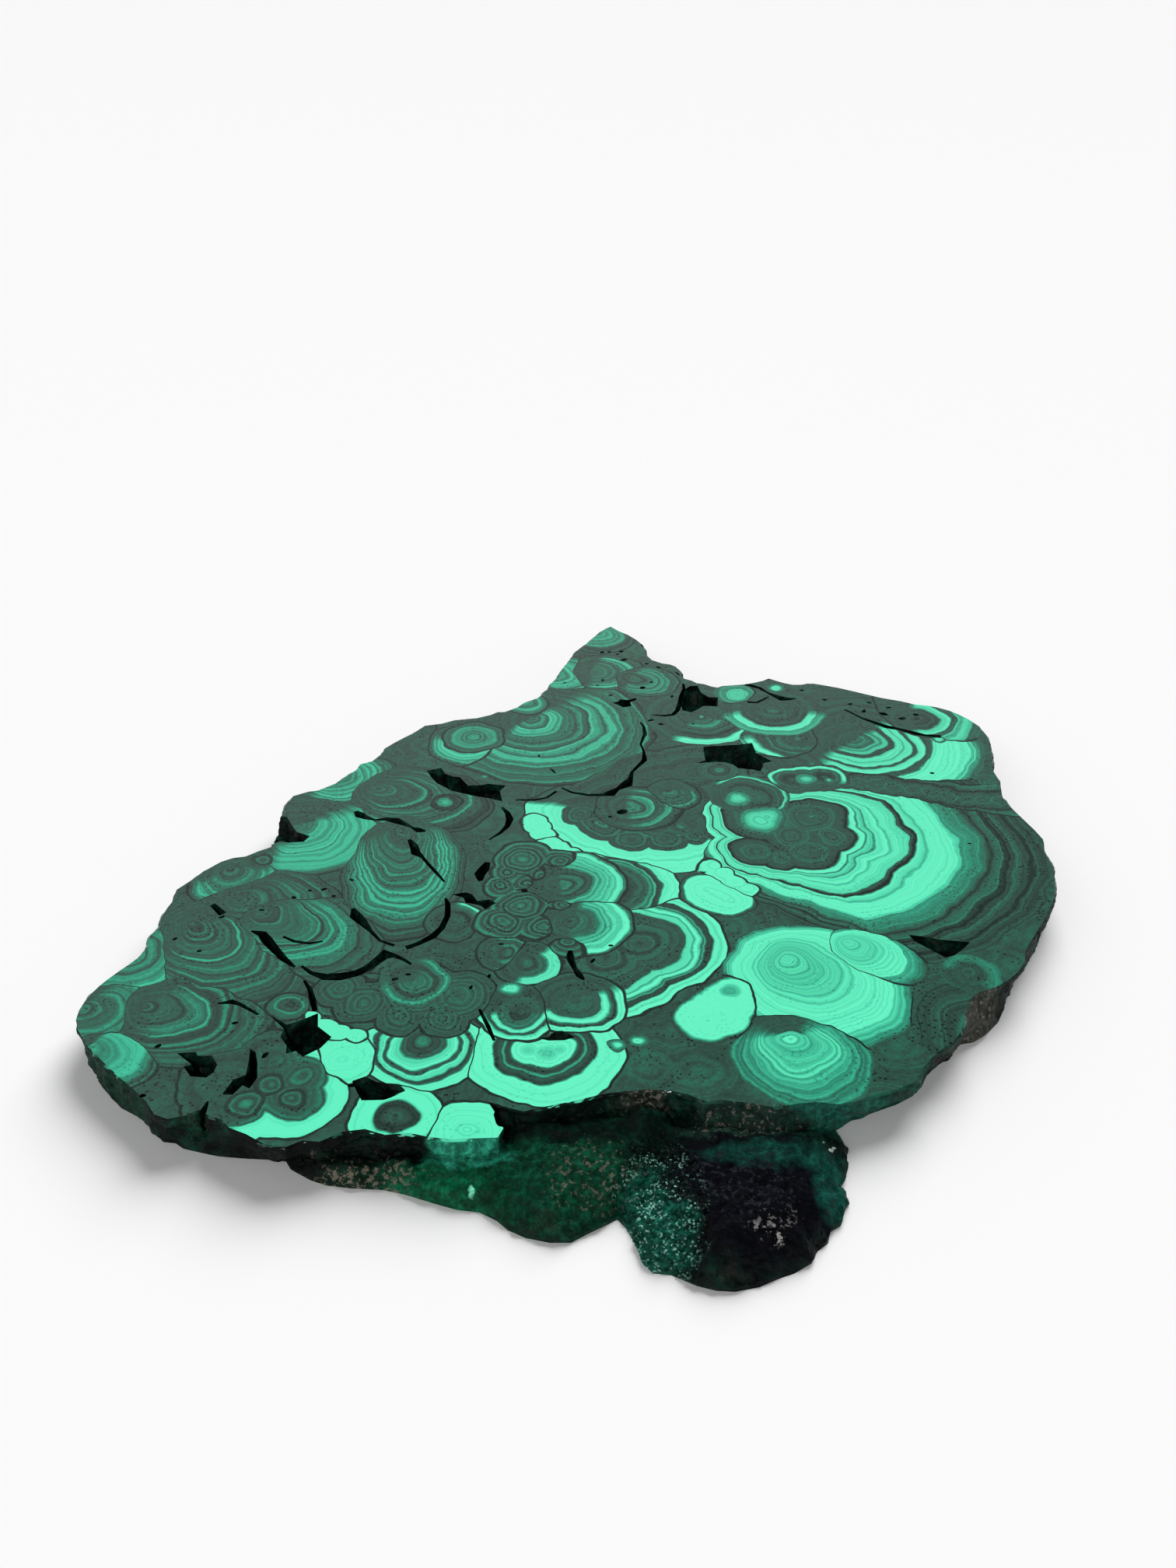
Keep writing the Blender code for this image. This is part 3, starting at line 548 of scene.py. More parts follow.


# %% [markdown]
# ## How the rings grew
#
# Malachite grows in layers from many points at once. Where two fronts meet they stop each other, which
# leaves cusps and thin dark seams, and the light and dark bands are the history of each front. The
# finish repeats this: every colony has its starting points, the way its layers drift, how far it
# reaches, the side on which its bands catch the light, and its own row of tones, from the start outwards.
# That side is painted light: the bands show there with a painted sheen, and elsewhere sink into a painted
# shade.
# These rows were read off the photograph.
#
# The broad colonies share the face between them. A point belongs to the colony whose layers would
# reach it first, for its size.

# %% The broad colonies
# name: starting points (plan x, y, size of a solid start), drift, reach, lit side, tones
# drift: direction in degrees, pace, and how much less time the layers took that way. Where a second
# pair of these follows, the slower one holds
# lit side, where the bands get a painted sheen and elsewhere a painted shade: direction in degrees, the
# cosine at which it starts, and how softly it rises
# tones: pairs of an age in mm and a tone from 0, nearly black, to 1, a bright mint
BROAD = {
    "big_right": (
        [(35, -2, 5.8), (40.5, -4.5, 5), (47.5, -2, 7.2), (53.5, 4, 6), (50, 12, 8.7), (38, 12, 9.5),
         (44, 5, 7), (52.5, 13, 6)],
        (-20, 1.5, 0.47, 3.0, 2.9), 44, None,
        [(-6, 0.3), (-4.6, 0.22), (-3.4, 0.34), (-2.6, 0.24), (-1, 0.32), (-0.4, 0.12), (0.1, 0.3),
         (0.5, 0.95), (1.7, 0.97), (2.1, 0.3), (2.5, 0.9), (3.5, 0.8), (3.9, 0.3), (4.3, 0.9), (6.4, 0.97),
         (6.9, 0.6), (7.4, 0.95), (10.6, 0.85), (11.6, 0.9), (12, 0.2), (13.4, 0.16), (13.8, 0.85),
         (15.3, 0.95), (15.7, 0.55), (16.2, 0.95), (21.5, 0.97), (23, 0.85), (24.2, 0.55), (28.5, 0.42),
         (30.6, 0.26), (33.6, 0.2), (44, 0.2)]),
    "back_right": (
        [(66, 49, 0)], (-30, 1.1, 0.12), 32, (-45, -0.1, 0.3),
        [(0, 0.3), (3, 0.4), (4.5, 0.3), (5, 0.75), (5.6, 0.35), (6.5, 0.75), (7.4, 0.8), (7.8, 0.2),
         (9.3, 0.18), (9.7, 0.85), (11.4, 0.95), (11.9, 0.55), (12.4, 0.92), (13.7, 0.9), (14.2, 0.2),
         (14.9, 0.2), (15.3, 0.9), (17.3, 0.95), (17.7, 0.2), (19.3, 0.17), (19.7, 0.85), (21, 0.97),
         (26, 0.97), (28, 0.9), (28.6, 0.6), (29, 0.9), (29.5, 0.6), (30.4, 0.45), (32, 0.28)]),
    "dark_gap": (
        [(60, 28.5, 0), (64, 28, 0.5), (68, 27, 0.5), (72, 26, 0), (76, 25, 0), (80, 23.5, 0),
         (84, 22, 0), (88, 20.5, 0), (92, 20, 0), (96, 20, 0)], None, 7.5, None, [(0, 0.28), (7.5, 0.24)]),
    "corner": (
        [(84, 60, 0)], None, 17, (-10, -0.2, 0.3),
        [(0, 0.2), (5.6, 0.2), (6.2, 0.8), (8.4, 0.9), (8.9, 0.25), (10.2, 0.22), (10.8, 0.8),
         (12, 0.6), (12.5, 0.85), (14.4, 0.7), (15, 0.35), (17, 0.3)]),
    "star_left": (
        [(27, 62, 0)], None, 15.4, (-72, 0.6, 0.15),
        [(0, 0.75), (1.3, 0.5), (1.7, 0.22), (3.4, 0.4), (4, 0.25), (5.4, 0.5), (5.9, 0.6), (6.4, 0.22),
         (9, 0.3), (9.6, 0.22), (12.6, 0.25), (13.1, 0.9), (15.4, 1)]),
    "star_right": (
        [(51.5, 50.5, 0)], None, 14.6, (-122, 0.42, 0.2),
        [(0, 0.25), (3, 0.34), (3.6, 0.22), (6.5, 0.34), (7, 0.24), (9.6, 0.3), (10, 0.2), (10.6, 0.5),
         (11.2, 0.95), (12.8, 1), (13.2, 0.5), (14.6, 0.8)]),
    "bowl": (
        [(9, 17, 9), (13, 9.5, 6.5), (1, 9.5, 5.8), (19, 9, 5.5), (19, 19, 6), (-4, 14, 4.5), (7, 3.5, 4.2),
         (15.5, 3, 4.4), (22, 4, 3), (15, 28, 6), (24, 33, 4)], None, 9.5, (-115, 0.2, 0.08),
        [(-9, 0.36), (-6.4, 0.3), (-5.8, 0.38), (-5.4, 0.24), (-4.2, 0.34), (-3.8, 0.24), (-2.4, 0.34),
         (-2, 0.22), (-1, 0.34), (-0.6, 0.2), (0.1, 0.14), (0.6, 0.18), (1.1, 0.95), (9.5, 1)]),
    "lobe_upper": (
        [(1, -16, 0)], None, 16.6, None,
        [(0, 0.2), (6, 0.25), (10, 0.36), (10.5, 0.2), (10.9, 0.75), (11.3, 0.2), (12.3, 0.25), (12.8, 0.95),
         (16.6, 1)]),
    "lobe_lower": (
        [(8, -35, 0), (1, -40, 0.5)], None, 18, (-30, -0.75, 0.2),
        [(0, 0.28), (3, 0.2), (5, 0.3), (8.6, 0.22), (9.3, 0.2), (9.8, 0.8), (11, 0.9), (11.3, 0.6),
         (11.7, 0.92), (12.7, 0.9), (13, 0.2), (13.4, 0.6), (13.8, 0.2), (15, 0.2), (15.4, 0.92),
         (18, 1)]),
    "fork_left": ([(-14.6, 11, 0), (-13.6, 8.4, 0.3), (-12.4, 5.4, 0)], None, 3.6, None,
                  [(-0.3, 1), (3.6, 1)]),
    "fork_low": ([(-11.2, 1.8, 0), (-9, -0.2, 0.2), (-6.8, -2.4, 0)], None, 3.4, None,
                 [(-0.3, 1), (3.4, 1)]),
    "river_tail": ([(25.4, -7.2, 0), (27.6, -10.4, 0.4), (29.8, -13.4, 0.3), (32, -16, -0.3)], None, 4.4,
                   None, [(-0.4, 1), (3.8, 1), (4.4, 0.7)]),
    "oval": ([(23, -17.1, 4.5), (24.2, -18, 4.9), (25.5, -19, 5.1), (26.8, -20, 4.9), (28, -20.9, 4.5)],
             None, 1.6, None, [(-4, 1), (0.3, 1), (0.7, 0.25), (1.6, 0.22)]),
    "big_cell": (
        [(37.5, -40.5, 0)], (-55, 1.9, 0.9), 30, None,
        [(0, 0.8), (2.4, 0.86), (3, 0.72), (3.8, 0.82), (5, 0.84), (5.6, 0.7), (6.4, 0.78), (9, 0.76),
         (10, 0.84), (10.5, 0.68), (11.1, 0.84), (12.8, 0.82), (13.3, 0.7), (13.9, 0.86), (15, 0.9),
         (15.4, 0.72), (15.9, 0.93), (24, 0.96), (24.6, 1), (25, 0.74), (25.6, 0.86), (26.4, 0.64),
         (27, 0.76), (27.8, 0.52), (28.5, 0.58), (29.3, 0.32), (30, 0.24)]),
    "side_cell": ([(51, -35.5, 0)], (-42, 2.2, 1.2), 17.5, None,
                  [(0, 0.82), (2.5, 0.86), (3, 0.74), (3.6, 0.87), (5.4, 0.82), (6, 0.7), (6.6, 0.87),
                   (8, 0.9), (11.6, 0.93), (12.2, 1), (12.6, 0.62), (13.8, 0.56), (14.6, 0.62), (15.6, 0.48),
                   (16.6, 0.34), (17.5, 0.26)]),
    "low_cell": (
        [(35.8, -64.2, 0)], (-74, 1.6, 0.6), 19.5, (-76, -0.75, 0.6),
        [(0, 0.8), (3.2, 0.66), (3.8, 0.8), (4.6, 0.62), (5.4, 0.78), (6.2, 0.68), (7, 0.84), (7.8, 0.7),
         (9.2, 0.84), (9.7, 0.6), (10.1, 0.96), (10.6, 0.86), (11, 0.58), (12, 0.74), (12.6, 0.56),
         (13.4, 0.7), (14.2, 0.5), (15.2, 0.62), (16, 0.46), (17.2, 0.5), (18.2, 0.34), (19.5, 0.26)]),
    "low_right": ([(77, -66, 0)], (125, 1.5, 0.5), 21, None, [
        (0, 0.1), (3, 0.14), (5, 0.3), (7, 0.12), (9, 0.16), (10.5, 0.36), (12, 0.14), (13.5, 0.18),
        (15, 0.33), (16.5, 0.16), (19, 0.2), (21, 0.24)]),
    "comma": (
        [(25.6, -51.2, 3.6), (25, -54.5, 4.6), (22.8, -57.4, 5.2), (20.2, -59, 5)], None, 2, None,
        [(-4, 1), (0.5, 1), (1.1, 0.4), (2, 0.25)]),
    "front_dark_cell": (
        [(-33.5, -64.5, 0)], (-90, 1.28, 0.28), 14.5, None,
        [(0, 0.25), (2, 0.36), (2.5, 0.2), (3.6, 0.34), (4, 0.2), (5.2, 0.22), (5.9, 0.85), (8, 0.95),
         (8.4, 0.22), (9, 0.25), (9.4, 0.9), (10.3, 0.92), (10.8, 0.2), (11.6, 0.22), (12.1, 0.95),
         (14.5, 1)]),
    "front_bright_cell": (
        [(-13.5, -67.6, 2.7), (-10.5, -68.4, 3.4), (-7.8, -67.6, 2.7)], (-90, 1.12, 0.12), 10.8, None,
        [(-3, 0.8), (0.4, 1), (0.9, 0.3), (2, 0.25), (2.4, 0.6), (2.9, 0.22), (4.4, 0.2), (5, 0.9),
         (5.5, 1), (10.8, 1)]),
    "front_piece": ([(-48, -70, 2)], None, 5.5, None, [(-2, 1), (4.6, 1), (5.5, 0.8)]),
    "front_strip": ([(-55, -57.5, -0.4), (-52.6, -60.4, 0), (-50, -62.6, 0), (-46.6, -64, 0)], None, 3,
                    None, [(-0.5, 1), (2.5, 1), (3, 0.7)]),
    "eye_cell": (
        [(-36.2, -84.8, 0)], None, 8.6, None,
        [(0, 0.12), (2.8, 0.15), (3.4, 0.35), (3.8, 0.85), (4.4, 1), (8, 1), (8.6, 0.8)]),
    "half_cell": ([(-23.7, -88, 3)], None, 4.6, None, [(-2, 0.95), (4, 1), (4.6, 0.8)]),
    "front_margin": (
        [(-61, -77, 3.4), (-65, -81.5, 3.8), (-55.5, -80, 4), (-60, -71, 3), (-55, -74.5, 3.4),
         (-68, -75.5, 3)], None, 6.2, (-20, -0.2, 0.3),
        [(-3.6, 0.42), (-2.4, 0.24), (-1.6, 0.36), (-1.1, 0.2), (-0.2, 0.36), (0.3, 0.2), (1.3, 0.3),
         (1.7, 0.16), (2.2, 0.9), (2.8, 1), (6.2, 1)]),
    "great_fan": (
        [(-18, 60.5, 0)], (-50, 1.3, 0.3), 35.5, (-42, -0.05, 0.3),
        [(0, 0.35), (3, 0.4), (3.8, 0.62), (4.8, 0.4), (5.6, 0.36), (6.4, 0.72), (7, 0.5), (8, 0.76),
         (8.6, 0.5), (9.6, 0.7), (10.4, 0.34), (12.6, 0.46), (13.2, 0.3), (15.4, 0.5), (16, 0.3),
         (17.4, 0.36), (18.2, 0.68), (19, 0.42), (20.4, 0.56), (21.2, 0.3), (22.6, 0.72), (24.6, 0.6),
         (25.3, 0.28), (26.4, 0.55), (27, 0.3), (29.4, 0.38), (30.2, 0.5), (30.8, 0.26), (33, 0.36),
         (33.8, 0.56), (34.4, 0.24), (35.5, 0.26)]),
    "crown_disc": (
        [(-32.5, 51, 0)], (-90, 1.4, 0.4), 15, (-90, -0.05, 0.4),
        [(0, 0.5), (7.4, 0.5), (7.9, 0.3), (8.3, 0.8), (9, 0.55), (9.5, 0.86), (10.6, 0.6), (11.2, 0.8),
         (12, 0.5), (12.6, 0.62), (13.2, 0.32), (15, 0.27)]),
    "upper_left": (
        [(-68, 33, 0)], (-32, 1.9, 0.9), 21, (-32, 0.2, 0.4),
        [(0, 0.28), (5, 0.36), (6, 0.5), (7, 0.38), (8.5, 0.56), (9, 0.44), (10.5, 0.7), (11, 0.48),
         (12.5, 0.74), (13, 0.5), (14.5, 0.74), (15.2, 0.46), (16, 0.66), (16.8, 0.34), (18.4, 0.42),
         (19, 0.25), (21, 0.28)]),
    "pit_rings": (
        [(-55, 26, 0)], (-26, 3.0, 2.0), 32, (-28, 0.3, 0.4),
        [(0, 0.28), (5, 0.32), (8, 0.24), (10, 0.3), (13.2, 0.22), (14, 0.56), (14.6, 0.27), (17, 0.34),
         (17.5, 0.25), (20, 0.32), (20.5, 0.48), (21, 0.27), (23, 0.34), (23.5, 0.26), (25, 0.28),
         (25.5, 0.62), (26, 0.27), (28, 0.3), (28.4, 0.16), (32, 0.22)]),
    "pit_disc": (
        [(-37, 19, 0)], None, 5, (-20, -1.2, 0.3), [(0, 0.55), (1.6, 0.45), (2, 0.24), (3.4, 0.3),
                                                     (3.9, 0.42), (4.3, 0.24), (5, 0.26)]),
    "left_fan": (
        [(-71, 9, 0)], (-38, 1.4, 0.4), 23.5, (-36, 0.25, 0.35),
        [(0, 0.4), (3, 0.35), (4, 0.5), (5.5, 0.45), (6.4, 0.62), (7.4, 0.58), (8, 0.74), (8.6, 0.56),
         (10, 0.7), (10.6, 0.54), (12, 0.74), (12.6, 0.56), (14, 0.72), (14.6, 0.58), (16, 0.78),
         (16.6, 0.56), (18, 0.7), (19, 0.6), (20.4, 0.68), (21.4, 0.4), (23.5, 0.26)]),
    "sub_fan": (
        [(-82, -9, 0)], (-68, 1.6, 0.6), 15, (-68, 0.15, 0.4),
        [(0, 0.28), (3, 0.34), (5, 0.28), (6, 0.42), (6.6, 0.32), (8, 0.46), (8.6, 0.36), (9.6, 0.66),
         (10.4, 0.42), (11.4, 0.55), (12.4, 0.66), (13.2, 0.45), (15, 0.26)]),
    "down_fan": (
        [(-46, 10, 0)], (-83, 6, 5), 45, (-76, 0.45, 0.35),
        [(0, 0.28), (8, 0.28), (9, 0.36), (10, 0.26), (13, 0.38), (14, 0.26), (17, 0.44), (17.8, 0.28),
         (20, 0.36), (21, 0.5), (22, 0.3), (24, 0.52), (25, 0.32), (27, 0.44), (28, 0.6), (29, 0.38),
         (31, 0.66), (32, 0.44), (33.5, 0.74), (34.4, 0.4), (36, 0.66), (36.8, 0.36), (39, 0.44),
         (40, 0.24), (45, 0.22)]),
    "pit_rim": ([(-31, -28, 0)], None, 7, (35, 0.6, 0.2),
                [(0, 0.3), (3, 0.24), (5.6, 0.25), (6, 0.9), (6.7, 0.9), (7, 0.2)]),
    "edge_high": ([(-99, -38, 0)], (-22, 1.5, 0.5), 20, (-25, 0.1, 0.4), [
        (0, 0.36), (5, 0.36), (5.8, 0.5), (6.6, 0.38), (8, 0.5), (8.8, 0.38), (10, 0.56), (10.8, 0.4),
        (12, 0.6), (12.8, 0.44), (14.4, 0.7), (15.4, 0.62), (16, 0.36), (18, 0.28), (20, 0.24)]),
    "edge_middle": ([(-101, -56, 0)], (-14, 1.6, 0.6), 19, (-14, 0.1, 0.4), [
        (0, 0.36), (5, 0.3), (5.8, 0.46), (6.6, 0.34), (8.4, 0.5), (9.2, 0.36), (11, 0.54), (11.8, 0.38),
        (13.4, 0.58), (14.4, 0.4), (16, 0.66), (17, 0.38), (19, 0.26)]),
    "edge_low": ([(-96, -67, 0)], (-30, 1.6, 0.6), 16, (-20, -0.1, 0.3), [
        (0, 0.5), (4, 0.42), (5, 0.6), (6.4, 0.5), (7.4, 0.7), (8.6, 0.6), (9.6, 0.76), (11, 0.7),
        (11.8, 0.4), (13, 0.5), (13.8, 0.3), (16, 0.26)]),
    "inner_left": ([(-89, -55, 0)], (-18, 2.4, 1.4), 27, (-18, 0.35, 0.4), [
        (0, 0.27), (7, 0.3), (8, 0.25), (10, 0.34), (11, 0.27), (12.2, 0.52), (13, 0.34), (13.8, 0.56),
        (14.5, 0.27), (17, 0.3), (17.6, 0.44), (18.2, 0.25), (21, 0.32), (21.6, 0.24), (24, 0.3),
        (27, 0.26)]),
    "inner_high": ([(-86, -29, 0)], (-47, 3.0, 2.0), 37, (-42, 0.4, 0.4), [
        (0, 0.26), (7, 0.3), (8, 0.25), (11, 0.31), (12, 0.25), (14, 0.34), (14.8, 0.66), (15.4, 0.28),
        (18, 0.34), (18.7, 0.46), (19.3, 0.26), (22, 0.36), (22.8, 0.52), (23.4, 0.26), (26, 0.32),
        (27, 0.4), (27.6, 0.24), (31, 0.32), (32, 0.22), (37, 0.25)]),
    "arc_high": ([(-78, -20, 0)], (-20, 2.0, 1.0), 24, (-25, 0.3, 0.4), [
        (0, 0.28), (5, 0.28), (6, 0.36), (7, 0.25), (10, 0.36), (11, 0.25), (13.6, 0.4), (14.4, 0.26),
        (17, 0.38), (17.8, 0.25), (20, 0.34), (21, 0.22), (24, 0.25)]),
    "arc_low": ([(-73, -24, 0)], (-37, 3.2, 2.2), 33, (-37, 0.35, 0.4), [
        (0, 0.28), (6, 0.28), (7, 0.34), (8, 0.26), (10, 0.38), (11, 0.27), (13, 0.42), (13.8, 0.28),
        (15.4, 0.36), (16.2, 0.54), (16.9, 0.3), (18.6, 0.42), (19.2, 0.64), (19.9, 0.34), (22, 0.48),
        (22.8, 0.66), (23.5, 0.32), (26, 0.42), (26.8, 0.28), (29, 0.34), (30, 0.16), (33, 0.22)]),
    "scallops": ([(-47, -51, 0), (-52, -54, 0), (-44, -56, 0)], None, 6, None, [
        (0, 0.36), (0.72, 0.3), (1.56, 0.42), (1.92, 0.24), (3, 0.38), (3.36, 0.24), (4.44, 0.4),
        (4.8, 0.25), (5.58, 0.34), (6, 0.26)]),
    "eye_ring": ([(-60.5, -55, 0)], None, 4.5, None, [(0, 0.3), (2, 0.28), (2.5, 0.55), (3.1, 0.3),
                                                      (4.5, 0.26)]),
    "prong_low": ([(-15, 85.5, 0)], (4, 1.6, 0.6), 17.5, (4, 0.0, 0.3), [
        (0, 0.35), (4, 0.4), (5, 0.6), (6, 0.42), (8, 0.72), (9, 0.5), (10.6, 0.76), (11.4, 0.45),
        (12.6, 0.6), (13.2, 0.34), (14.8, 0.66), (15.6, 0.36), (17.5, 0.28)]),
    "prong_right": ([(-2, 88, 0)], (-12, 1.5, 0.5), 16, (-10, 0.1, 0.3), [
        (0, 0.35), (4, 0.32), (4.6, 0.45), (5.1, 0.28), (7.2, 0.42), (8, 0.28), (9.6, 0.4), (10.4, 0.72),
        (11, 0.4), (12, 0.62), (12.8, 0.7), (13.4, 0.3), (16, 0.27)]),
    "prong_end": ([(9, 84, 0)], (-24, 1.7, 0.7), 14, (-24, 0, 0.3), [
        (0, 0.35), (4, 0.3), (5, 0.45), (5.6, 0.28), (7.4, 0.5), (8, 0.3), (9.6, 0.64), (10.4, 0.34),
        (11.4, 0.5), (12, 0.27), (14, 0.26)]),
    "prong_tip": ([(-1, 114, 0)], (-62, 1.5, 0.5), 15, (-62, -0.3, 0.4), [
        (0, 0.4), (3, 0.42), (4, 0.6), (5, 0.5), (6.4, 0.66), (7, 0.48), (8.4, 0.62), (9, 0.42),
        (10, 0.5), (11, 0.3), (15, 0.28)]),
}
print("broad colonies:", len(BROAD))

# %% [markdown]
# Younger colonies sit on the broad ones, and small eyes on both.

# %% The younger colonies and the eyes
MIDDLE = {
    "fan_upper": (
        [(-8.5, -14.5, 0)], (0, 1.2, 0.2), 14.5, (0, -0.05, 0.25),
        [(0, 0.25), (2, 0.4), (2.4, 0.2), (4.5, 0.36), (5, 0.2), (6.3, 0.3), (6.9, 0.2), (7.5, 0.55),
         (8.2, 0.75), (8.7, 0.5), (9.4, 0.8), (9.8, 0.6), (10.4, 0.85), (10.8, 0.6), (11.5, 0.9),
         (12.2, 0.65), (12.8, 1), (13.4, 0.95), (13.8, 0.4), (14.5, 0.25)]),
    "fan_lower": (
        [(-6.5, -28, 0)], (-12, 1.25, 0.25), 13.5, (-8, 0.1, 0.25),
        [(0, 0.25), (4, 0.32), (5.5, 0.22), (6.2, 0.5), (7, 0.75), (7.5, 0.55), (8.3, 0.8), (8.8, 0.6),
         (9.8, 0.9), (10.4, 0.7), (11.2, 0.95), (12.3, 0.97), (12.8, 0.4), (13.5, 0.25)]),
    "bowl_fan": (
        [(6, 16.5, 0)], (5, 1.5, 0.5), 14, (0, 0.1, 0.4),
        [(0, 0.3), (3, 0.48), (3.8, 0.34), (5, 0.5), (5.6, 0.34), (6.8, 0.54), (7.4, 0.3), (8.8, 0.42),
         (9.3, 0.28), (10.8, 0.4), (11.3, 0.62), (11.8, 0.26), (14, 0.26)]),
    "upper_right_fan": (
        [(17, 24, 0)], (-60, 1.4, 0.4), 9, (-70, 0.1, 0.4),
        [(0, 0.3), (3, 0.4), (3.5, 0.26), (5.4, 0.36), (6, 0.24), (7.2, 0.5), (7.8, 0.22), (9, 0.25)]),
    "core_cap": (
        [(35, 23, 2), (37.5, 21.5, 2)], None, 6.6, (30, -0.5, 0.2),
        [(-2, 0.3), (0, 0.24), (1.2, 0.32), (1.6, 0.22), (4.4, 0.3), (4.9, 0.25), (5.2, 0.85), (5.7, 0.85),
         (6, 0.22), (6.6, 0.2)]),
    "grey_disc": ([(30, 34, 0)], None, 5.4, None, [(0, 0.3), (2.5, 0.26), (4.6, 0.32), (4.9, 0.16),
                                                   (5.4, 0.2)]),
    "loop_eye": ([(47.5, 29.5, 0), (51, 30, 0), (55.5, 30.5, 0)], None, 6.4, (90, -0.4, 0.3), [
        (0, 0.26), (1.5, 0.22), (2.6, 0.34), (3, 0.2), (4.2, 0.22), (4.5, 0.9), (5.3, 0.92), (5.7, 0.2),
        (6.4, 0.2)]),
    "dark_disc": ([(47, 65, 0)], None, 14, (-90, 0, 0.3), [
        (0, 0.25), (4, 0.3), (8.7, 0.22), (9.3, 0.9), (11, 0.95), (11.5, 0.6), (12.6, 0.6), (13, 0.8),
        (14, 0.3)]),
    "back_cell": ([(38, 74, 0)], None, 6, None, [(0, 0.8), (2.4, 0.75), (3, 0.5), (4.5, 0.6),
                                                 (5, 0.35), (6, 0.28)]),
    "crown_eye": ([(-19.5, 69.5, 0)], (-60, 1.3, 0.3), 7, (-60, -0.5, 0.4), [
        (0, 0.6), (1.6, 0.5), (2, 0.3), (3, 0.35), (3.6, 0.72), (4.6, 0.6), (5.2, 0.32), (7, 0.28)]),
    "crown_core": ([(-32, 50.5, 0)], None, 7.8, None, [
        (0, 0.6), (2, 0.46), (2.6, 0.58), (3.2, 0.44), (4.6, 0.52), (5.2, 0.64), (5.7, 0.5), (6.1, 0.2),
        (7.4, 0.24), (7.8, 0.3)]),
    "small_ring": ([(-19.5, -39, 0)], None, 6, (0, -0.5, 0.3), [
        (0, 0.4), (2, 0.3), (2.5, 0.42), (3, 0.25), (4.6, 0.3), (5, 0.62), (5.3, 0.2), (6, 0.25)]),
    "comma_left": ([(-15, -42, 0)], None, 7, (-30, 0.1, 0.3), [
        (0, 0.3), (3.8, 0.3), (4.6, 0.85), (6.4, 0.95), (7, 0.4)]),
    "low_disc": ([(-15.5, -57, 0)], None, 8.4, (-90, -0.1, 0.3), [
        (0, 0.22), (4.6, 0.25), (5, 0.85), (5.8, 0.95), (6.2, 0.25), (6.6, 0.25), (7, 0.9), (8, 1),
        (8.4, 0.7)]),
    "low_disc_right": ([(-5, -54, 0)], None, 9.6, (-60, -0.2, 0.3), [
        (0, 0.25), (3, 0.3), (3.4, 0.25), (4.8, 0.3), (5.2, 0.85), (6.4, 0.95), (6.8, 0.25),
        (7.6, 0.25), (8, 0.9), (9.2, 1), (9.6, 0.7)]),
    "green_arc": ([(74, -45.5, 0)], None, 6, (45, -0.6, 0.4), [
        (0, 0.2), (3.2, 0.25), (4.2, 0.5), (5, 0.5), (6, 0.28)]),
    "shelf": (
        [(-51.5, -50, 0), (-46.5, -54, 0.6), (-36, -50, 3.4), (-28, -52, 2.4), (-39, -58, -0.6),
         (-30, -58.5, 0)], None, 5.4, None,
        [(-3, 0.33), (-1.4, 0.27), (0, 0.33), (1.2, 0.38), (1.6, 0.24), (2.6, 0.31), (3, 0.26), (4.4, 0.32),
         (4.8, 0.14), (5.4, 0.2)]),
    "cluster": (
        [(-17, -5, 2.6), (-21, -10, -0.6), (-21.5, -15, -0.4), (-12.5, -11, 0.4), (-8.5, -15.5, 1.6),
         (-16.5, -22.5, 2.2), (-8.5, -22.5, 0.6), (-20.5, -28.5, 1.2), (-12, -29.5, 1), (-6.5, -35, 0.4),
         (-16, -13.5, -0.5), (-9, -6, 0.3)], None, 4.6, None,
        [(-2.6, 0.55), (-1.6, 0.4), (-1.2, 0.2), (-0.2, 0.42), (0.2, 0.18), (1.1, 0.42), (1.4, 0.2),
         (2.3, 0.4), (2.6, 0.16), (3.5, 0.3), (3.9, 0.5), (4.2, 0.2), (4.6, 0.22)]),
}
EYES = {
    "core_eyes": ([(33.5, 20.5, 2.4), (37.5, 11, 4.1), (39.5, 12.8, 3), (51, 30, 1.8)], None, 1, None,
                  [(-4, 0.9), (-2.4, 0.75), (-2, 0.85), (-0.4, 0.7), (0.2, 0.4), (1, 0.22)]),
    "bright_spots": ([(-18, -50, 1.6), (7, -65, 1.3), (3, -66, 1), (88, 49, 1.2), (49, 78, 1.6),
                      (-28.5, 30.2, 0.2), (56.5, 28.8, 0.4)], None, 0.8, None,
                     [(-1.5, 0.95), (-0.2, 0.75), (0.8, 0.35)]),
    "left_disc": ([(-37, -47.5, 0)], None, 7.2, (-40, -0.7, 0.4), [
        (0, 0.42), (2.4, 0.3), (3, 0.46), (3.5, 0.26), (4.8, 0.42), (5.3, 0.28), (6.2, 0.56), (6.8, 0.2),
        (7.2, 0.2)]),
    "dark_eyes": ([(-60, -77, 1.8), (-63.5, -81.5, 2.2), (-55, -80.5, 1.8), (-75.5, -5, 1.2)], None, 1.2,
                  None, [(-2, 0.4), (-0.6, 0.2), (0, 0.45), (0.5, 0.25), (1.2, 0.24)]),
    "comma_eye": ([(25.3, -50.5, 0)], None, 2.4, None, [(0, 0.6), (1.2, 0.66), (2, 0.84), (2.4, 0.97)]),
    "low_eye": ([(35.6, -64.6, 0)], (-90, 1.2, 0.2), 3.3, None,
                [(0, 0.92), (1.2, 0.88), (1.7, 0.74), (2.4, 0.82), (3.3, 0.7)]),
}
print("younger colonies:", len(MIDDLE), "and sets of eyes:", len(EYES))

# %% [markdown]
# ## From colonies to tones
#
# For each colony the finish works out how long its layers took to reach the point. The distance is
# scalloped a little, because a real front is made of small domes. The colony that came first gives the
# tone, and the gap between the first and the second marks the seam. The bright cells on the right have
# no seam where they end on open ground, and neither have the eyes.

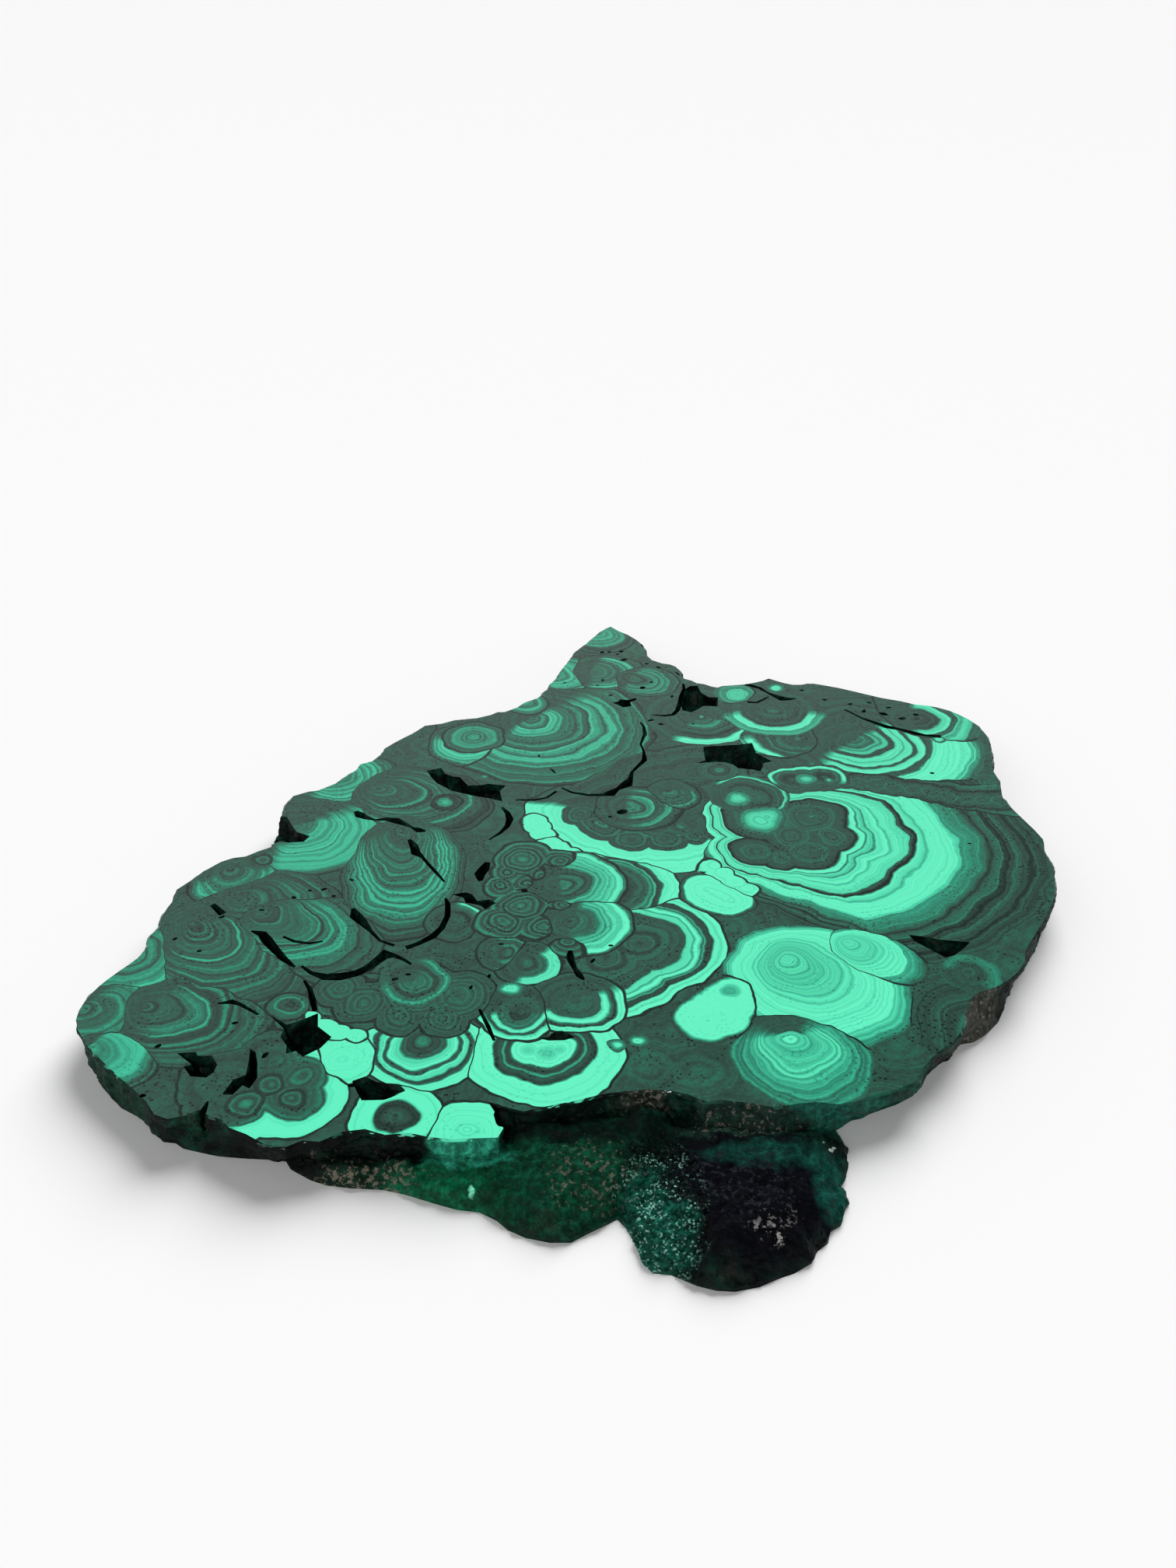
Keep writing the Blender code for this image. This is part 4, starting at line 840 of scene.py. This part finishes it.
# %% The growth of the face
DARK_AND_SHADE_TONE = 0.27           # of open ground, and the painted shade on a colony's side away from the light
SEAM_TONE = 0.06
SEAM_WIDTH = 0.4           # in mm
NO_SEAM = 9.0              # a gap in mm that is far too wide for a seam
SOFT_SIDE = 20.0           # right of this plan x the colonies end without a seam
DOME_SIZE = 6.5            # in mm
DOME_DEPTH = 0.1           # as a share of the size
DOMES_GROW = 10.0          # the age in mm at which the domes have their full depth
LEAST_CONTRAST = 0.35      # of the fine lines where a colony is painted in shade
OPEN_CONTRAST = 0.5        # and on open ground
LINE_SHIFT = 13.0          # in mm, gives each colony fine lines of its own
TAKEN = 0.999              # below this share of its reach, a colony holds the point


def direction(angle):
    """A unit vector in the plan."""
    return (math.cos(math.radians(angle)), math.sin(math.radians(angle)), 0.0)


def time_and_side(sheet, place, domes, starts, drift, lit):
    """How long a colony's layers took to a point, and how much that point faces its lit side, which gets a
    painted sheen.
    """
    distance = None
    for x, y, size in starts:
        near = sheet.vector("DISTANCE", place, (x, y, 0.0), output="Value")
        if size:
            near = near - size
        distance = near if distance is None else distance.least(near)
    # Layers that grew from mere points are smooth near them, and have their full domes further out
    from_points = all(size == 0 for _, _, size in starts)
    if from_points:
        domes = domes * (distance * (1 / DOMES_GROW)).least(1.0)
    distance = distance + domes
    middle = tuple(sum(start[axis] for start in starts) / len(starts) for axis in (0, 1)) + (0.0,)
    if drift or lit:
        away = sheet.vector("NORMALIZE", sheet.vector("SUBTRACT", place, middle))
    if drift:
        facing = sheet.vector("DOT_PRODUCT", away, direction(drift[0]), output="Value")
        pace = facing.times_plus(-drift[2], drift[1])
        if len(drift) > 3:
            pace = pace.most(facing.times_plus(-drift[4], drift[3]))
        if from_points:
            distance = distance * pace
        else:
            distance = (distance * pace).most(distance.least(0.0))
    painted_sheen = None
    if lit:
        facing = sheet.vector("DOT_PRODUCT", away, direction(lit[0]), output="Value")
        painted_sheen = sheet.node("ShaderNodeMapRange", None,
                           {"Value": facing, "From Min": lit[1], "From Max": lit[1] + lit[2]})
    return distance, painted_sheen


FLOAT = "NodeSocketFloat"
VECTOR = "NodeSocketVector"
COLOUR = "NodeSocketColor"
PASSED_ON = {"first": FLOAT, "seam": FLOAT, "tone": COLOUR, "front": FLOAT, "contrast": FLOAT}


def colony_group(name, number, outlined, starts, drift, reach, lit, tones):
    """One colony as a group. It passes on what it was given wherever another colony came first."""
    group = Group(name, {"place": VECTOR, "domes": FLOAT, **PASSED_ON}, PASSED_ON)
    first = group.given("first")
    begin = tones[0][0]
    span = reach - begin
    age, painted_sheen = time_and_side(group, group.given("place"), group.given("domes"), starts, drift, lit)
    share = age.times_plus(1 / span, -begin / span)
    own = share.ramp([((t - begin) / span, value) for t, value in tones])
    if painted_sheen is not None:
        # Away from the lit side the bands are painted in shade, at the dark tone
        own = group.mix_colour(painted_sheen, (DARK_AND_SHADE_TONE, DARK_AND_SHADE_TONE, DARK_AND_SHADE_TONE), own)
    wins = share < first
    # Where no other colony has come yet, first is still 1, and the border may go without a seam
    lead = (share - first) * span
    alone = 0.0 if outlined else (first < TAKEN).times_plus(-NO_SEAM, NO_SEAM)
    group.give("seam", group.mix(wins, (lead + alone).least(group.given("seam")), alone - lead))
    group.give("tone", group.mix_colour(wins, group.given("tone"), own))
    group.give("front", group.mix(wins, group.given("front"), age + LINE_SHIFT * number))
    clear = 1.0 if painted_sheen is None else painted_sheen.times_plus(1 - LEAST_CONTRAST, LEAST_CONTRAST)
    group.give("contrast", group.mix(wins, group.given("contrast"), clear))
    group.give("first", share.least(first))
    return group


def grow(finish, place, domes, layer, state):
    """Add one layer of colonies to the tone, the age of the front, its contrast and the seam."""
    state = {**state, "first": 1.0}
    for number, (name, facts) in enumerate(layer.items()):
        starts = facts[0]
        outlined = layer is not EYES and starts[0][0] < SOFT_SIDE
        group = colony_group(name, number, outlined, *facts)
        state = finish.use(group, {"place": place, "domes": domes, **state})
    return state


print("what each colony passes on:", ", ".join(PASSED_ON))

# %% [markdown]
# ## The polished face
#
# A polish shows the colour deep and clear, with a soft mirror on top. The plan is bent a little by
# noise before the layers grow on it, so that no ring is a true circle, and fine lines follow each
# front's age. One row of colours turns tones into greens. They run from nearly black to a bright
# mint, and are measured as light, not as the greyer look that the mirror of the room gives the stone.

# %% Paint the polished face
FACE_COLOURS = [
    (0.0, (0.002, 0.009, 0.006)),
    (0.08, (0.006, 0.028, 0.018)),
    (0.18, (0.015, 0.050, 0.036)),
    (0.27, (0.020, 0.071, 0.050)),
    (0.42, (0.015, 0.145, 0.090)),
    (0.58, (0.017, 0.290, 0.177)),
    (0.75, (0.038, 0.520, 0.312)),
    (0.9, (0.080, 0.750, 0.450)),
    (1.0, (0.118, 0.890, 0.545)),
]
LOOSE_RING = 13.0                   # size of the faint rings of open ground, in mm
BENDS = [(7.0, 2.4), (2.2, 0.6)]    # size of the waves and how far they shift the plan, in mm
LINE_MEAN, LINE_STRENGTH = 0.47, 0.5
BROAD_MEAN, BROAD_STRENGTH = 0.46, 0.55
CELL_MEAN = 0.45                    # of the distance to the middle of a cell

face_finish = Finish("polished_face")
plan = face_finish.plan()
bent = plan
for size, reach in BENDS:
    bent = face_finish.vector("ADD", bent, face_finish.waver(plan, size, 0.0, (reach, reach, 0.0)))
flat = face_finish.vector("MULTIPLY", bent, (1.0, 1.0, 0.0))
domes = (face_finish.cells(flat, DOME_SIZE, dimensions="2D") - CELL_MEAN) * (DOME_DEPTH * DOME_SIZE)
loose_rings = face_finish.cells(flat, LOOSE_RING, dimensions="2D") * LOOSE_RING
patches = face_finish.cloud(flat, 9.0, 2.0)
tone = patches.ramp([(0.3, DARK_AND_SHADE_TONE - 0.04), (0.7, DARK_AND_SHADE_TONE + 0.05)])
state = {"tone": tone, "front": loose_rings, "contrast": OPEN_CONTRAST, "seam": NO_SEAM}
for layer in (BROAD, MIDDLE, EYES):
    state = grow(face_finish, flat, domes, layer, state)
front = state["front"]

# Fine lines follow the age of the front, and broader ones show in the dark layers alone
fine = face_finish.lines(front, 1.1, 3.0, 0.7)
broad = face_finish.lines(front, 0.42, 1.0)
tone = face_finish.vector("DOT_PRODUCT", state["tone"], (1.0, 0.0, 0.0), output="Value")
darkness = 1.0 - tone.step(0.4, 0.8)
tone = (fine - LINE_MEAN).times_plus(state["contrast"] * LINE_STRENGTH, tone)
tone = ((broad - BROAD_MEAN) * darkness).times_plus(state["contrast"] * BROAD_STRENGTH, tone)
seam_line = 1.0 - state["seam"].step(0.5 * SEAM_WIDTH, SEAM_WIDTH)
tone = face_finish.mix(seam_line, tone, SEAM_TONE)

# Specks stand in for pits too small to cut: their dark is painted shade in the pits, and they crowd
# together in the darker layers. Dust between them breaks up the dark tones
pit_shade_specks = 1.0 - face_finish.cells(plan, 1.3, dimensions="2D").step(0.12, 0.24)
crowds = face_finish.cloud(plan, 5.0, 2.0).step(0.5, 0.62)
tone = tone - pit_shade_specks * crowds * (0.1 + darkness * 0.16)
dust = face_finish.cloud(plan, 0.7, 4.0, roughness=0.7)
tone = (dust - 0.5).times_plus(darkness * 0.32 + 0.06, tone)
colour = tone.ramp(FACE_COLOURS)
face_finish.feed("Base Color", colour)

# The polish is a little uneven, and tiny pores ripple it
haze = face_finish.cloud(plan, 16.0, 2.0)
face_finish.feed("Roughness", haze.times_plus(0.10, 0.13))
face_finish.feed("IOR", 1.55)
pores = face_finish.cloud(plan, 0.7, 2.0)
face_finish.bump(pores, 0.06, 0.05)
slab.data.materials.append(face_finish.material)
print("nodes in the face:", len(face_finish.nodes))

# %% [markdown]
# ## The natural skin
#
# The outside of the mass and the walls of its pits are rough: emerald domes, blue-black velvet on the
# lobe, a sparkling crust of fine crystals on its left flank, and grey earthy crust in between. Each
# place is a soft spot on the plan with a ragged edge, and the spots are laid one over another. A few
# spots are painted shade in the hollows under the edge of the polish, one is a painted glint, and the
# crystals' sparkle is painted into the colour as highlights as well as given a glossy coat.

# %% Paint the natural skin
def spot_mask(finish, place, x, y, half_x, half_y, edge=0.35):
    """1 in the middle of an oval on the plan, fading over its edge."""
    scaled = finish.vector("MULTIPLY", finish.vector("SUBTRACT", place, (x, y, 0.0)),
                           (1 / half_x, 1 / half_y, 0.0))
    reach = finish.vector("LENGTH", scaled, output="Value")
    return 1.0 - reach.step(1 - edge, 1 + edge)


SKIN_SPOTS = [
    # plan x, y, half-widths in mm, colour, strength
    (-92, -72, 12, 10, (0.001, 0.030, 0.016), 0.8),
    # painted shade: the dark hollow under the overhanging edge of the polish
    (-55, -90, 13, 4.5, (0.0006, 0.002, 0.0015), 0.95),
    (-41, -94, 9, 3.5, (0.004, 0.030, 0.016), 0.8),
    (-27, -97, 12, 8, (0.001, 0.095, 0.040), 0.95),
    (-16, -96, 5, 9, (0.0008, 0.030, 0.014), 0.8),
    (-5, -95, 12, 10, (0.001, 0.040, 0.019), 0.9),
    # painted shade in the hollow under the edge of the polish
    (-35, -89.5, 8, 1.8, (0.0006, 0.002, 0.0015), 0.9),
    # painted shade in the hollows under the edge of the polish, along the lobe
    (-4, -85, 16, 3, (0.0006, 0.006, 0.004), 0.9),
    (-23.5, -91, 7, 1.7, (0.020, 0.270, 0.165), 0.9),
    (9, -88, 6, 7, (0.0008, 0.010, 0.006), 0.85),
    (25, -98, 16, 18, (0.0011, 0.0013, 0.0028), 1.0),
    (30, -90, 12, 2.6, (0.003, 0.045, 0.032), 0.8),
    (39.5, -97, 3.5, 6, (0.003, 0.055, 0.040), 0.8),
    (9, -104, 6, 11, (0.004, 0.075, 0.048), 0.95),
    (14, -96, 4.5, 5, (0.0008, 0.0015, 0.003), 0.9),
    (24, -83.5, 11, 2.8, (0.010, 0.034, 0.024), 0.8),
    (8, -76.5, 5, 3.5, (0.030, 0.040, 0.030), 0.8),
    # a painted highlight: a glint on the lobe
    (40, -87.5, 0.5, 0.4, (0.5, 0.6, 0.58), 1.0),
    (-22, -97, 0.6, 0.8, (0.16, 0.62, 0.42), 1.0),
    (75, -55, 7, 7, (0.050, 0.052, 0.042), 0.8),
    (55, -78, 18, 7, (0.002, 0.055, 0.034), 0.7),
    (30, -79, 15, 2.2, (0.004, 0.070, 0.046), 0.6),
    (42, -80.5, 9, 3.5, (0.010, 0.110, 0.075), 0.8),
]
CRUST_FLECKS = [
    # plan x, y, half-widths in mm, colour, share of the place that the flecks cover
    (-41, -93.5, 10, 3.5, (0.19, 0.17, 0.125), 0.5),
    (-2, -95, 9, 8, (0.105, 0.100, 0.072), 0.42),
    (25, -83.5, 12, 3, (0.150, 0.145, 0.120), 0.4),
    (8, -76.5, 5, 3.5, (0.20, 0.19, 0.16), 0.5),
    (27, -105.5, 3, 4, (0.36, 0.35, 0.33), 0.42),
    (31, -103, 2, 3, (0.16, 0.16, 0.15), 0.4),
    (24, -97, 11, 10, (0.012, 0.015, 0.022), 0.45),
    (14, -96, 5, 5, (0.10, 0.14, 0.14), 0.22),
    (75, -55, 7, 7, (0.16, 0.15, 0.13), 0.4),
]

DRUSE_SPOT = (9.5, -102, 7, 12.5)    # as in the rows above
# colour of the crystals' painted glints
DRUSE_PAINTED_GLINT = (0.30, 0.66, 0.54)
RAGGED = (5.0, 5.0, 5.0)             # how far the edges of the spots stray, in mm
FLECK_START = 0.82                   # the noise at which flecks of no share would start
FLECK_FALL = 0.4                     # how far their share lowers that
FLECK_EDGE = 0.09

skin_finish = Finish("natural_skin")
place = skin_finish.plan()
ragged_place = skin_finish.vector("ADD", place, skin_finish.waver(place, 3.0, 3.0, RAGGED))
crust = skin_finish.cloud(place, 1.6, 4.0, roughness=0.7)
grains = skin_finish.cells(place, 0.8)
skin_colour = skin_finish.cloud(place, 5.0, 4.0).ramp([
    (0.36, (0.0006, 0.003, 0.002)), (0.5, (0.002, 0.014, 0.009)), (0.6, (0.004, 0.036, 0.021)),
    (0.72, (0.020, 0.028, 0.020))])
for x, y, half_x, half_y, colour, strength in SKIN_SPOTS:
    mask = spot_mask(skin_finish, ragged_place, x, y, half_x, half_y)
    skin_colour = skin_finish.mix_colour(mask * strength, skin_colour, colour)
mottle = crust.ramp([(0.3, (0.25, 0.25, 0.25)), (0.5, (0.9, 0.9, 0.9)), (0.7, (2.4, 2.4, 2.4))])
skin_colour = skin_finish.mix_colour(1.0, skin_colour, mottle, "MULTIPLY")
fleck_cloud = skin_finish.cloud(place, 1.0, 4.0, roughness=0.65)
for x, y, half_x, half_y, colour, share in CRUST_FLECKS:
    mask = spot_mask(skin_finish, ragged_place, x, y, half_x, half_y, 0.5)
    level = FLECK_START - FLECK_FALL * share
    flecks = (fleck_cloud + mask * 0.12).step(level, level + FLECK_EDGE)
    skin_colour = skin_finish.mix_colour(flecks * mask, skin_colour, colour)
druse = spot_mask(skin_finish, ragged_place, *DRUSE_SPOT)
# The crystals' sparkle is painted into the colour as highlights, and the same spots get a glossy coat
glint_cells = skin_finish.cells(place, 0.34, output="Color")
glints_painted_and_coated = skin_finish.vector("DOT_PRODUCT", glint_cells, (1.0, 0.0, 0.0), output="Value").step(0.8, 0.93)
glints_painted_and_coated = glints_painted_and_coated * skin_finish.cloud(place, 4.0, 2.0).step(0.38, 0.56)
skin_colour = skin_finish.mix_colour(glints_painted_and_coated * druse * 0.85, skin_colour, DRUSE_PAINTED_GLINT)
skin_finish.feed("Base Color", skin_colour)
skin_finish.feed("Roughness", (1.0 - druse * 0.4) * crust.times_plus(0.5, 0.3))
skin_finish.feed("IOR", 1.5)
skin_finish.feed("Specular IOR Level", 0.12)
skin_finish.feed("Coat Weight", druse * glints_painted_and_coated)
skin_finish.feed("Coat Roughness", 0.2)
skin_finish.bump(crust - grains * 0.4, 0.8, 0.4)
slab.data.materials.append(skin_finish.material)
print("nodes in the skin:", len(skin_finish.nodes))

# %% [markdown]
# ## The sawn base
#
# Nobody polishes the underside. The saw leaves it flat and dull, and the same rings show as soft grey
# greens with the blade's faint straight marks.

# %% Paint the sawn base
BASE_RING = 26.0                 # size of a ring, in mm
SAW_ACROSS = (0.94, 0.34, 0.0)   # direction across the marks

base_finish = Finish("sawn_base")
under = base_finish.plan()
swirled = base_finish.vector("ADD", under, base_finish.waver(under, 14.0, 2.0, (18.0, 18.0, 0.0)))
swirled = base_finish.vector("MULTIPLY", swirled, (1.0, 1.0, 0.0))
rings = base_finish.cells(swirled, BASE_RING, dimensions="2D") * BASE_RING
bands = base_finish.lines(rings, 0.55, 3.0, 0.6)
base_finish.feed("Base Color", bands.ramp([
    (0.34, (0.012, 0.050, 0.034)), (0.48, (0.026, 0.130, 0.088)), (0.56, (0.045, 0.300, 0.190)),
    (0.66, (0.090, 0.480, 0.310))]))
saw_marks = base_finish.vector("DOT_PRODUCT", under, SAW_ACROSS, output="Value")
saw_lines = base_finish.lines(saw_marks, 1.6, 2.0)
base_finish.feed("Roughness", saw_lines.times_plus(0.2, 0.5))
base_finish.bump(saw_lines, 0.3, 0.06)
slab.data.materials.append(base_finish.material)
print("nodes in the base:", len(base_finish.nodes))

# %% [markdown]
# ## What the piece stands for
#
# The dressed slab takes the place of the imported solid, which stays in the physics, and it rides on the
# one body that the model has.

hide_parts("malachite_slab")
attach(slab, "root")

# %% [markdown]
# ## The studio
#
# The slab lies on a white sweep under one broad soft light, a little behind it and to the right, so
# short soft shadows fall to the front and the left. A second light is small and weak, and only wakes
# the sparkle of the crystals. The room that the polish mirrors is pale near the horizon and dark above,
# so the far side of the slab looks a little greyer than the near side.

# %% Floor, light and room
FLOOR_SIZE = 30.0    # in metres


def add_sun(name, strength, spread, turn, tilt):
    """A light from far away: its spread and its turns about X and Y are in degrees."""
    bpy.ops.object.light_add(type="SUN", location=(0.0, 0.0, 1.0))
    sun = bpy.context.active_object
    sun.name = name
    sun.data.energy = strength
    sun.data.angle = math.radians(spread)
    sun.rotation_euler = (math.radians(turn), math.radians(tilt), 0.0)
    return sun


bpy.ops.mesh.primitive_plane_add(size=FLOOR_SIZE, location=(0.0, 0.0, 0.0))
floor = bpy.context.active_object
floor.name = "studio_floor"
floor_finish = Finish("studio_floor")
floor_finish.feed("Base Color", (0.93, 0.93, 0.93, 1.0))
floor_finish.feed("Roughness", 0.9)
floor_finish.feed("Specular IOR Level", 0.1)
floor.data.materials.append(floor_finish.material)

broad_light = add_sun("broad_light", 3.4, 44, -48, 24)
broad_light.visible_glossy = False
glint_light = add_sun("glint_light", 0.7, 6, 46, -16)
print("lights:", broad_light.name, "and", glint_light.name)

room = bpy.data.worlds.new("studio_room")
room.use_nodes = True
room_sheet = Sheet(room.node_tree)
heading = room_sheet.node("ShaderNodeTexCoord", output="Generated")
height = room_sheet.vector("DOT_PRODUCT", heading, (0.4, 0.0, 1.0), output="Value")
glow = height.ramp([(0.0, 0.5), (0.45, 0.5), (0.6, 0.3), (0.75, 0.08), (1.0, 0.06)])
room_sheet.links.new(glow.socket, room_sheet.nodes["Background"].inputs["Color"])
bpy.context.scene.world = room

# %% [markdown]
# ## The camera
#
# The photograph looks down on the slab at about thirty degrees from close by, so the front of the slab
# is drawn larger than its back. The lens and the place were found from how much the round cells are
# flattened at the front and at the back.

# %% Set up the camera
CAMERA_PLACE = (-2.585, -264.14, 186.6)    # on the plan, in mm
VIEW_PITCH = 31.5                          # down from level, in degrees
FOCAL_PIXELS = 1800                        # focal length in pixels of the photograph
PHOTO_LENGTH = 2016                        # its longer side in pixels
SENSOR = 36.0                              # in mm

bpy.ops.object.camera_add(location=on_plan(*CAMERA_PLACE),
                          rotation=(math.radians(90 - VIEW_PITCH), 0.0, 0.0))
camera = bpy.context.active_object
camera.data.sensor_width = SENSOR
camera.data.lens = SENSOR * FOCAL_PIXELS / PHOTO_LENGTH
camera.data.clip_start = 0.01
bpy.context.scene.camera = camera
bpy.context.scene.view_settings.view_transform = "Standard"
print("lens in mm:", round(camera.data.lens, 2))
